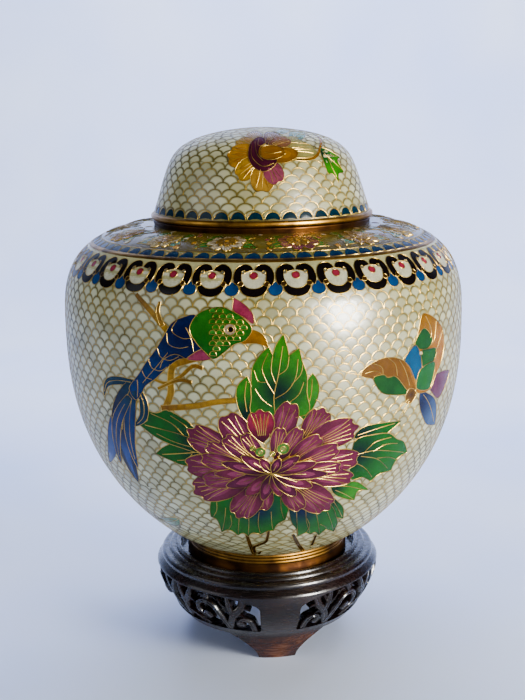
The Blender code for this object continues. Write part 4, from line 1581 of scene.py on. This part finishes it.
@dataclass
class Lid(Shell):
    """The domed lid: enamel over a hollow shell, with a gilt rim. Sizes as in the solid."""

    bottom: float = 191.3
    height: float = 37.8
    taper: float = 11.95
    rim_radius: float = 47.4937
    rim_height: float = 2.4
    rim_proud: float = 0.5
    powers: Point = (8.0, 1.67)
    facets: int = 160
    rim_facets: int = 128
    pitch: float = 1.3
    inner_step: int = 2
    teal_scales: int = 42
    zones: tuple[ScaleZone, ...] = (
        ScaleZone(4.0, 26.5, 42, 8), ScaleZone(26.5, 41.5, 36, 5), ScaleZone(41.5, 51.5, 28, 3),
        ScaleZone(51.5, 59.0, 18, 2), ScaleZone(59.0, 66.5, 10, 2),
    )

    def __post_init__(self) -> None:
        """Works out the unrolled profile."""
        share = np.sin(np.linspace(0.0, math.pi / 2, 900))
        power, root = self.powers
        r = (self.rim_radius - self.taper * share) * np.maximum(0.0, 1.0 - share**power) ** (1.0 / root)
        self.chart = Chart(np.column_stack([r, self.bottom + self.height * share]), self.bottom)

    def build(self, pearl: Finish, gilt: Finish) -> None:
        """Builds the shell and its rim.

        Args:
            pearl: The ground enamel.
            gilt: The gilded metal.
        """
        lengths, outer, inner = self.skins(self.rim_height - 0.5)
        low, radius, crown = self.bottom, self.rim_radius, self.bottom + self.height - self.wall
        inner = [(a, b) for a, b in inner if a > 1.0 and low + self.rim_height < b < crown]
        outline = [*outer[:-1], (0.0, low + self.height + self.glaze), (0.0, crown), *reversed(inner)]
        outline.append((radius - self.wall, low + 0.4))
        shell = turned("lid_enamel", outline, self.facets, pearl, self.zones, lengths)
        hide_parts("lid")
        edge, high = radius + self.rim_proud, low + self.rim_height
        rim = [(radius - self.wall, low), (edge - 0.6, low)]
        rim += arc((edge - 0.7, low + 1.1), (0.7, 1.1), -1.4, 1.5, 9)
        rim += [(edge - 0.9, high), (radius - 1.2, high), (radius - self.wall, low + 0.6)]
        turned("lid_rim", rim, self.rim_facets, gilt)

    def paint(self, enamel: Finish, gilt: Finish) -> None:
        """Adds the blossom, the teal scales and the scale ground.

        Args:
            enamel: The coloured enamel.
            gilt: The wires.
        """
        picture = Picture(self.chart, 0.74, self.glaze, {"flower": 0.26})
        picture.domes("scales", self.teal_scales, 5.2 - 180.0, (0.46, 3.3), 2.9, "#051E28", 2.6)
        brush = Brush(picture, "flower")
        self.blossom(brush)
        self.back_blossoms(brush)
        picture.make({"scales": "lid_scales", "flower": "lid_flower"}, enamel, gilt)
        ScaleGround(picture).make("lid_ground_wires", self.zones, gilt)

    def blossom(self, brush: Brush) -> None:
        """Draws the ochre and mauve blossom on the lid's front, with its leaves to the right.

        Args:
            brush: The brush that draws it.
        """
        ochre, amber, mauve, pale = (Palette.ochre, Palette.amber, Palette.mauve, "#8E8648")
        brush.twig(((20, 27.4), (34, 27.6), (46, 33.6), (66, 43)), 1, 1.4, Palette.ochre)
        brush.field([(40.5, 27), (42, 31), (46, 33, 1), (50, 31.4), (58, 27, 1), (53, 25.6), (55.5, 20.8),
            (50, 20), (48, 16.2, 1), (44.6, 20.4), (41, 20.6)], Palette.lime, Palette.pine, (43.5, 29.5), 8)
        brush.wires([(44, 29.6), (48, 26), (54, 22)], [(46, 28.4), (50, 28.6), (55, 27.2)],
            [(45.4, 28), (45.6, 23.4), (47.6, 18.6)])
        brush.leaf((24, 38), (64, 48), 9, 0.1, "#4A7A34", "#1E4A24", 3)
        brush.leaf((18, 46), (58, 54), 7, 0.1, "#5E8444", "#2A5A2A", 2)
        for tip, width in (((34, 40), 10), ((39, 32), 9), ((20, 50), 10), ((24, 29.5), 7)):
            brush.petal((6, 33), tip, width, 2, pale, "#6E5A1E", None)
        brush.petal((2, 36), (-12, 52.5), 12, 3, "#7E5E0E", "#5A3A0A", ochre)
        brush.petal((4, 36), (16, 50.5), 12, 3, "#6E4A24", "#4A2416", "#7A5030")
        brush.petal((4, 34), (23.5, 41), 9, 2, "#7A4E2A", "#4E2A18", "#6A4420")
        brush.petal((2, 33), (-19, 41), 10, 2, "#8E6A10", "#6A4406", ochre)
        brush.petal((1, 31), (-21, 30), 13, 3, amber, ochre, "#8E5606")
        brush.petal((1, 29), (-13.5, 20.4), 9, 2, "#A87C12", ochre, "#8E5E08")
        brush.petal((1.5, 28), (0.2, 14.2), 10, 2, "#A87A22", ochre, "#8A5A0E")
        brush.petal((3, 29), (24, 30.6), 8, 1, "#7A4E0A", "#5E3A06", ochre)
        brush.petal((3, 28), (9.4, 17.6), 8.5, 2, "#8E3E50", Palette.wine, "#7A2E46")
        brush.field([(-7.6, 36.5), (-7.8, 29), (-4.5, 24.4), (1, 22.4), (6.5, 24), (9.6, 27.4), (4, 27.4),
            (-1, 29.6), (-0.6, 34), (3.4, 37), (2.4, 41.6), (-3, 42.4)], mauve, Palette.wine)
        brush.field([(0.6, 28.4), (7.6, 27.6), (14.4, 29.6), (14, 33.4), (6.6, 35.2), (0.6, 33.6)], ochre,
            "#6E4406")
        brush.wires([(-6.4, 35), (-5.6, 29), (0.6, 24.6), (7.6, 25.8)], [(-4.2, 38), (-3, 31), (1, 27)],
            [(2, 31), (7, 30.4), (13, 31.2)], [(-1.6, 40.4), (-2, 35.6), (1, 35.2)])

    def back_blossoms(self, brush: Brush) -> None:
        """Draws three small blossoms round the lid's back, in keeping with the front.

        Args:
            brush: The brush that draws them.
        """
        for angle in (140.0, 180.0, 220.0):
            for sign in (-1, 1):
                brush.leaf((angle, 22.0), (angle + 17.0 * sign, 30.0), 5.6, 0.1 * sign, veins=2)
            brush.blossom((angle, 26.0), 7.6, 1.0 / brush.picture.mm_per_degree, 8, Palette.rose)


@dataclass
class Stand:
    """The turned, pierced and carved stand on three bracket feet. Sizes as in the solid."""

    foot_height: float = 12.4
    ring_height: float = 3.6
    seat_height: float = 38.7
    board_under: float = 35.1
    window_top: float = 34.6
    arch_rise: float = 5.6
    foot_tip_radius: float = 36.0
    ring_radius: float = 40.0
    apron_radius: float = 50.8
    apron_thickness: float = 6.0
    foot_thickness: float = 8.0
    seat_radius: float = 39.7
    apron_lip: float = 1.3
    rim_groove: float = 0.7
    beads: tuple[tuple[float, ...], ...] = (
        (46.8, 38.4, 1.9, -25.0, 110.0), (43.7, 40.3, 1.4, 5.0, 110.0), (40.9, 41.3, 1.2, 5.0, 180.0),
    )
    bow: float = 1.69
    feet: int = 3
    front_foot: float = 6.0
    foot_tip_width: float = 18.0
    foot_root_width: float = 44.0
    foot_flare: float = 1.8
    leg_width: float = 17.0
    scroll_width: float = 3.8
    thin_share: float = 0.6
    eye_radius: float = 2.3
    level_share: float = 0.45
    facets: int = 144
    edge_pitch: float = 1.3
    face_pitch: float = 1.7
    scroll_inset: float = 0.3
    inset_step: float = 0.08
    ribbon_proud: float = 0.35
    eye_proud: float = 0.15

    def __post_init__(self) -> None:
        """Works out the heights and lengths that follow."""
        self.ring_top = self.foot_height + self.ring_height
        self.spandrel = self.window_top - self.arch_rise
        self.panel_radius = self.outer_radius((self.ring_top + self.window_top) / 2)
        self.half_panel = (self.panel_radius * 2 * math.pi / self.feet - self.leg_width) / 2

    def outer_radius(self, z: float) -> float:
        """Outer radius of the apron or a foot at a height.

        Args:
            z: The height.

        Returns:
            The radius.
        """
        widest = self.window_top - self.scroll_width / 2
        if z > widest:
            return self.apron_radius
        if z < self.foot_height:
            share = max(0.0, z) / self.foot_height
            return self.foot_tip_radius + (self.ring_radius - self.foot_tip_radius) * share
        share = (widest - z) / (widest - self.foot_height)
        return self.apron_radius - (self.apron_radius - self.ring_radius) * share**self.bow

    def wrap(self, along: float, z: float, radius: float, turn: float) -> tuple[float, float, float]:
        """The point in metres for a distance along a panel, a height, a radius and the panel's turn."""
        angle = math.radians(turn) + along / self.panel_radius
        return radius * math.sin(angle) * MM, -radius * math.cos(angle) * MM, z * MM

    def rim(self) -> list[Point]:
        """Outline of the turned rim and the seat board.

        Returns:
            The closed outline, from axis to axis.
        """
        edge, top, groove = self.apron_radius, self.window_top, self.rim_groove
        back, lip = edge - self.apron_thickness, top + self.apron_lip
        outline = [(0.0, self.board_under), (back, self.board_under), (back, top - 0.4)]
        outline += [(edge - 0.5, top - 0.4), (edge, top), (edge, top + 0.4), (edge - groove, lip)]
        outline.append((edge - 2 * groove, lip + groove))
        for r, z, radius, start, end in self.beads:
            outline += arc((r, z), (radius, radius), math.radians(start), math.radians(end), 12)
        return [*outline, (self.seat_radius, self.seat_height), (0.0, self.seat_height)]

    def panel_outline(self) -> list[Point]:
        """Half of a panel's outer outline, from the middle of its top to the middle of its underside.

        Returns:
            Places along the panel and up.
        """
        pitch = self.panel_radius * 2 * math.pi / self.feet
        scale = self.panel_radius / self.ring_radius
        spread = self.foot_root_width - self.foot_tip_width
        side = [(pitch / 2, self.window_top), (pitch / 2, 0.0)]
        for share in np.linspace(0.0, 1.0, 9):
            width = self.foot_tip_width + spread * share**self.foot_flare
            side.append((pitch / 2 - width / 2 * scale, self.foot_height * float(share)))
        return [(0.0, self.window_top), *side, (0.0, self.foot_height)]

    def window(self) -> Path:
        """Outline of the opening between two legs.

        Returns:
            The closed outline, along the panel and up.
        """
        end, level = self.half_panel, self.half_panel * self.level_share
        half = [(end - 0.6, self.ring_top), (end, self.ring_top + 0.8)]
        half += arc((level, self.spandrel), (end - level, self.arch_rise), 0.0, math.pi / 2, 9)
        return np.array(half + [(-x, z) for x, z in reversed(half)])

    def panel(self, heap: Heap, turn: float) -> None:
        """Adds one panel from leg to leg: feet, foot ring and frame round the window, as a thick shell.

        Args:
            heap: Where its faces go.
            turn: Where the panel's middle stands, in degrees.
        """
        half = self.panel_outline()
        outer = resampled(np.array(half + [(-x, z) for x, z in reversed(half[1:-1])]), self.edge_pitch)
        hole = resampled(self.window(), self.edge_pitch)
        low, high = outer.min(0), outer.max(0)
        across, up = (np.arange(low[k] + 1, high[k], self.face_pitch) for k in (0, 1))
        grid = np.array([(x, z) for x in across for z in up])
        grid = grid[inside(outer, grid) & ~inside(hole, grid)]
        rim, many = len(outer), len(hole)
        edges = [(rim + i, rim + (i + 1) % many) for i in range(many)]
        points, faces, _ = filled(np.vstack([outer, hole, grid]), edges, rim)
        faces = faces[~inside(hole, points[faces].mean(1))]
        shell = []
        for depth in (0.0, 1.0):
            for along, z in points:
                thick = self.apron_thickness if z > self.foot_height else self.foot_thickness
                shell.append(self.wrap(along, z, self.outer_radius(z) - thick * depth, turn))
        count = len(points)
        # An edge that two faces share lies inside; the others get a wall from face to back
        pairs: dict[tuple[int, ...], tuple[int, int]] = {}
        for face in faces.tolist():
            for a, b in zip(face, face[1:] + face[:1]):
                key = (min(a, b), max(a, b))
                if pairs.pop(key, None) is None:
                    pairs[key] = (a, b)
        walls = np.array([(b, a, a + count, b + count) for a, b in pairs.values()])
        heap.add(np.array(shell), np.vstack([faces, faces[:, ::-1] + count]), walls)

    def scrolls(self) -> list[tuple[Path, float, float, bool]]:
        """Paths of the carved scrollwork in half of a panel.

        Returns:
            Each path with its width at both ends, and whether it ends in a round eye.
        """
        end, low, tall = self.half_panel, self.ring_top, self.window_top - self.ring_top
        full, fine, tip = self.scroll_width, self.scroll_width * self.thin_share, 0.5
        foot, head = low - full / 3, self.window_top + full / 4
        big, small = 0.30 * tall, 0.14 * tall

        def place(along: float, up: float) -> Point:
            """A place as shares of the panel's half length and of the window's height."""
            return along * end, low + up * tall

        def winding(lead: list[Point], centre: Point, sizes: Point, turns: Point) -> Path:
            """A stem that winds about a centre while its radius changes evenly.

            Args:
                lead: Places before it starts to wind.
                centre: What it winds about.
                sizes: Its first and last radius.
                turns: Its first and last turn, in degrees.

            Returns:
                The stem's path.
            """
            turn, size = np.radians(np.linspace(*turns, 15)), np.linspace(*sizes, 15)
            curl = np.column_stack([centre[0] + size * np.cos(turn), centre[1] + size * np.sin(turn)])
            return np.vstack([smooth([*lead, tuple(curl[0])], False, 4)[:-1], curl])

        leads = [(0.64 * end, foot), place(0.6, 0.26)], [(0.93 * end, foot), place(0.9, 0.28)]
        volute = winding(leads[0], place(0.4, 0.5), (1.12 * big, 0.4 * big), (8.0, 290.0))
        sprout = winding(leads[1], place(0.82, 0.26), (small, 0.7 * small), (40.0, 200.0))
        tips = (
            ((0.7, 0.4), (0.78, 0.5), (0.83, 0.46)), ((0.76, 0.6), (0.84, 0.7), (0.9, 0.66)),
            ((0.66, 0.3), (0.74, 0.32), (0.78, 0.24)), ((0.68, 0.62), (0.6, 0.74), (0.55, 0.92)),
            ((0.7, 0.76), (0.73, 0.88), (0.76, 0.94)), ((0.6, 0.2), (0.54, 0.12), (0.5, 0.02)),
            ((0.42, 0.82), (0.36, 0.9), (0.32, 0.84)), ((0.44, 0.84), (0.5, 0.9), (0.54, 0.82)),
            ((0.16, 0.72), (0.22, 0.66), (0.26, 0.54)), ((0.18, 0.22), (0.24, 0.32), (0.22, 0.44)),
            ((0.26, 0.12), (0.32, 0.18), (0.38, 0.14)), ((0.09, 0.52), (0.04, 0.48), (0.0, 0.5)),
        )
        lines = (
            ([(0.62 * end, foot), place(0.7, 0.42), place(0.8, 0.72), (0.84 * end, head)], full, full),
            ([(0.66 * end, head), place(0.68, 0.72), place(0.72, 0.44)], fine, full),
            ([(0.44 * end, head), place(0.42, 0.8)], full, fine),
            ([(0.03 * end, head), place(0.09, 0.62), place(0.09, 0.36), (0.02 * end, foot)], fine, full),
            ([place(0.09, 0.5), place(0.17, 0.74), (0.24 * end, head)], full, fine),
            ([place(0.08, 0.3), place(0.2, 0.2), (0.34 * end, foot)], fine, full),
            # Leaf tips that stand off the scrolls
            *(([place(*at) for at in leaf], fine, tip) for leaf in tips),
        )
        paths = [(volute, full, fine, True), (sprout, full, fine, True)]
        return paths + [(smooth(places, False, 6), first, last, False) for places, first, last in lines]

    def ribbon(self, heap: Heap, path: Path, start: float, end: float, turn: float, inset: float) -> None:
        """Adds a carved ribbon with a rounded, grooved face.

        Args:
            heap: Where its faces go.
            path: Its middle line along the panel and up.
            start: Its width at the start.
            end: Its width at the end.
            turn: Where the panel's middle stands, in degrees.
            inset: How far its face lies under the apron's surface.
        """
        depth = self.apron_thickness - inset
        half = ((0.5, 2.2), (0.46, 0.9), (0.3, 0.15), (0.12, 0.1))
        section = [*((-x, y) for x, y in half), (0.0, 0.42), *half[::-1], (0.42, depth), (-0.42, depth)]
        points = []
        widths = np.linspace(start, end, len(path))
        for (along, z), (side_along, side_z), wide in zip(path, aside(path), widths):
            for across, down in section:
                x, y = along - side_along * across * wide, z - side_z * across * wide
                points.append(self.wrap(x, y, self.outer_radius(y) - inset - down + self.ribbon_proud, turn))
        size, last = len(section), (len(path) - 1) * len(section)
        caps = [[0, n, n + 1] for n in range(1, size - 1)]
        caps += [[last, last + n + 1, last + n] for n in range(1, size - 1)]
        heap.add(np.array(points), lattice(len(path), size), np.array(caps))

    def eye(self, heap: Heap, centre: Point, turn: float) -> None:
        """Adds the round button at the heart of a scroll.

        Args:
            heap: Where its faces go.
            centre: Its middle along the panel and up.
            turn: Where the panel's middle stands, in degrees.
        """
        sides, edge = 14, self.eye_radius
        rings = ((edge, 5.0), (edge, 1.0), (edge - 0.2, 0.35), (edge - 0.8, 0.0), (edge - 1.1, 0.25),
            (0.5, 0.05))
        points = [
            self.wrap(along, z, self.outer_radius(z) + self.eye_proud - down, turn)
            for radius, down in rings for along, z in disc(centre, radius, sides)
        ]
        last = (len(rings) - 1) * sides
        cap = np.array([[last, last + n, last + n + 1] for n in range(1, sides - 1)])
        heap.add(np.array(points), lattice(len(rings), sides), cap)

    def build(self, wood: Finish) -> None:
        """Builds the stand as one carved piece.

        Args:
            wood: The rosewood.
        """
        heap = Heap()
        outline = np.array(self.rim())
        turns = np.radians(np.arange(self.facets) * 360.0 / self.facets)
        heap.add(spun(outline, turns) * MM, lattice(len(outline), self.facets))
        for foot in range(self.feet):
            turn = self.front_foot + 360.0 / self.feet * (foot + 0.5)
            self.panel(heap, turn)
            for side in (1.0, -1.0):
                for order, (path, start, end, eyed) in enumerate(self.scrolls()):
                    sided = path * (side, 1.0)
                    # The mirrored half runs the other way, so its face stays outwards
                    drawn, widths = (sided, (start, end)) if side > 0 else (sided[::-1], (end, start))
                    self.ribbon(heap, drawn, *widths, turn, self.scroll_inset + self.inset_step * order)
                    if eyed:
                        self.eye(heap, tuple(sided[-1]), turn)
        stand = heap.make("carved_stand", wood, Slot.WOOD)
        stand.data.set_sharp_from_angle(angle=math.radians(CARVED_EDGE))
        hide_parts("stand")


def resampled(outline: Path, pitch: float) -> Path:
    """A closed outline with points no further apart than a pitch, keeping its corners.

    Args:
        outline: The closed outline.
        pitch: The largest gap.

    Returns:
        The finer outline.
    """
    line = []
    for a, b in zip(outline, np.roll(outline, -1, axis=0)):
        steps = max(1, math.ceil(float(np.hypot(*(b - a))) / pitch))
        line += [a + (b - a) * t / steps for t in range(steps)]
    return np.array(line)


@dataclass
class Studio:
    """A pale floor, soft lights and a camera where the photograph was taken from."""

    camera_place: tuple[float, float, float] = (-0.000655, -0.480, 0.23951)
    tilt_down: float = 12.7165
    roll: float = -0.925
    lens: float = 56.57

    def camera(self) -> None:
        """Adds the camera."""
        data = bpy.data.cameras.new("camera")
        data.sensor_width, data.lens = 36.0, self.lens
        made = placed("camera", data)
        turn, lean = (math.radians(angle) for angle in (90.0 - self.tilt_down, self.roll))
        turned_by = Matrix.Rotation(turn, 4, "X") @ Matrix.Rotation(lean, 4, "Z")
        made.matrix_world = Matrix.Translation(self.camera_place) @ turned_by
        bpy.context.scene.camera = made

    def light(
        self, name: str, place: Sequence[float], aim: Sequence[float], size: Point, power: float, colour: str,
        mirrored: bool = True, lights_up: bool = True,
    ) -> None:
        """Adds a soft rectangular light.

        Args:
            name: Its name.
            place: Where it stands, in metres.
            aim: What it points at.
            size: Its width and height in metres.
            power: Its power in watts.
            colour: Its hex colour.
            mirrored: Whether it shows in glossy surfaces.
            lights_up: Whether it lights matt surfaces.
        """
        data = bpy.data.lights.new(name, "AREA")
        data.shape = "RECTANGLE"
        data.size, data.size_y = size
        data.energy, data.color = power, linear(colour)[:3]
        made = placed(name, data)
        made.location = place
        made.rotation_euler = (Vector(aim) - Vector(place)).to_track_quat("-Z", "Y").to_euler()
        made.visible_glossy, made.visible_diffuse = mirrored, lights_up

    def build(self) -> None:
        """Adds the camera, the lights, the surroundings and the floor."""
        self.camera()
        self.light("window", (0.78, -0.56, 0.42), (0.0, 0.0, 0.14), (0.36, 0.50), 12.5, "#FFFDF6", False)
        self.light("glint", (0.655, -0.7, 0.29), (0.0, 0.0, 0.14), (0.26, 0.4), 60.0, "#FFFDF6", True,
            False)
        self.light("sky", (-0.2, 0.1, 1.3), (0.0, 0.1, 0.1), (0.9, 0.9), 6.0, "#DCE6FF", False)
        self.light("left_fill", (-1.1, -0.5, 0.5), (0.0, 0.0, 0.12), (0.9, 0.8), 3.6, "#EEF2FF")
        self.light("backdrop_wash", (0.1, 0.40, 0.75), (0.1, 0.80, 0.0), (1.0, 0.3), 15.0, "#E0E8FF", False)
        world = bpy.data.worlds.new("surroundings")
        world.use_nodes = True
        sky = world.node_tree.nodes["Background"]
        sky.inputs["Color"].default_value = linear("#DDE1EA")
        sky.inputs["Strength"].default_value = 0.06
        bpy.context.scene.world = world
        self.floor()

    def floor(self) -> None:
        """Adds a pale floor that curves up behind, of painted board."""
        front, flat, bend, top, half = -0.9, 0.55, 0.35, 1.6, 1.8
        turns = np.linspace(0.1, math.pi / 2, 10)
        profile = [(flat + bend * math.sin(a), bend * (1 - math.cos(a))) for a in turns]
        profile = [(front, 0.0), (flat, 0.0), *profile, (flat + bend, top)]
        made, tree, shader = new_material("painted_board")
        where = add_node(tree, "TexCoord", {})
        soft = add_node(tree, "TexNoise", {"Scale": 6.0, "Detail": 2.0}, {0: where.outputs["Object"]})
        ramp = add_node(tree, "ValToRGB", {}, {0: soft.outputs["Fac"]})
        spread_stops(ramp, ((0.3, "#C8D8FF"), (0.7, "#DEE8FF")))
        fit(tree, shader, {"Roughness": 0.8}, {"Base Color": ramp.outputs[0]})
        mesh = bpy.data.meshes.new("floor")
        faces = [(2 * i, 2 * i + 1, 2 * i + 3, 2 * i + 2) for i in range(len(profile) - 1)]
        mesh.from_pydata([(x, y, z) for y, z in profile for x in (-half, half)], [], faces)
        mesh.shade_smooth()
        mesh.materials.append(made)
        board = placed("floor", mesh)


def main() -> None:
    """Builds the object and its studio, and reports each piece."""
    logging.basicConfig(level=logging.INFO, format="%(name)s %(message)s")
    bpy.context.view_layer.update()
    pearl = PearlEnamel().make()
    enamel = PictureEnamel().make()
    gilt = GiltBrass().make()
    # Near-black brown gilding: painted shade on the collar under the lid and on the band low in the seat
    gilt_in_deep_shade = GiltBrass("painted_deep_shade_gilding", "#4A2C10", "#1C0E06", 0.36).make()
    rolled = GiltBrass("rolled_gilding", "#A87A2C", "#4A3010", 0.3).make()
    # A darker copy of the gilding for the foot ring's rolls: painted shade, low in the stand's seat
    gilt_in_shade = GiltBrass("painted_shade_gilding", "#7A561E", "#36220C", 0.34).make()
    wood = Rosewood().make()
    stand = Stand()
    stand.build(wood)
    jar = Jar()
    jar.build(pearl, gilt_in_shade, gilt_in_deep_shade)
    jar.shoulder_ring(rolled)
    jar.paint(enamel, gilt)
    lid = Lid()
    lid.build(pearl, rolled)
    lid.paint(enamel, gilt)
    Studio().build()


if __name__ == "__main__":
    main()
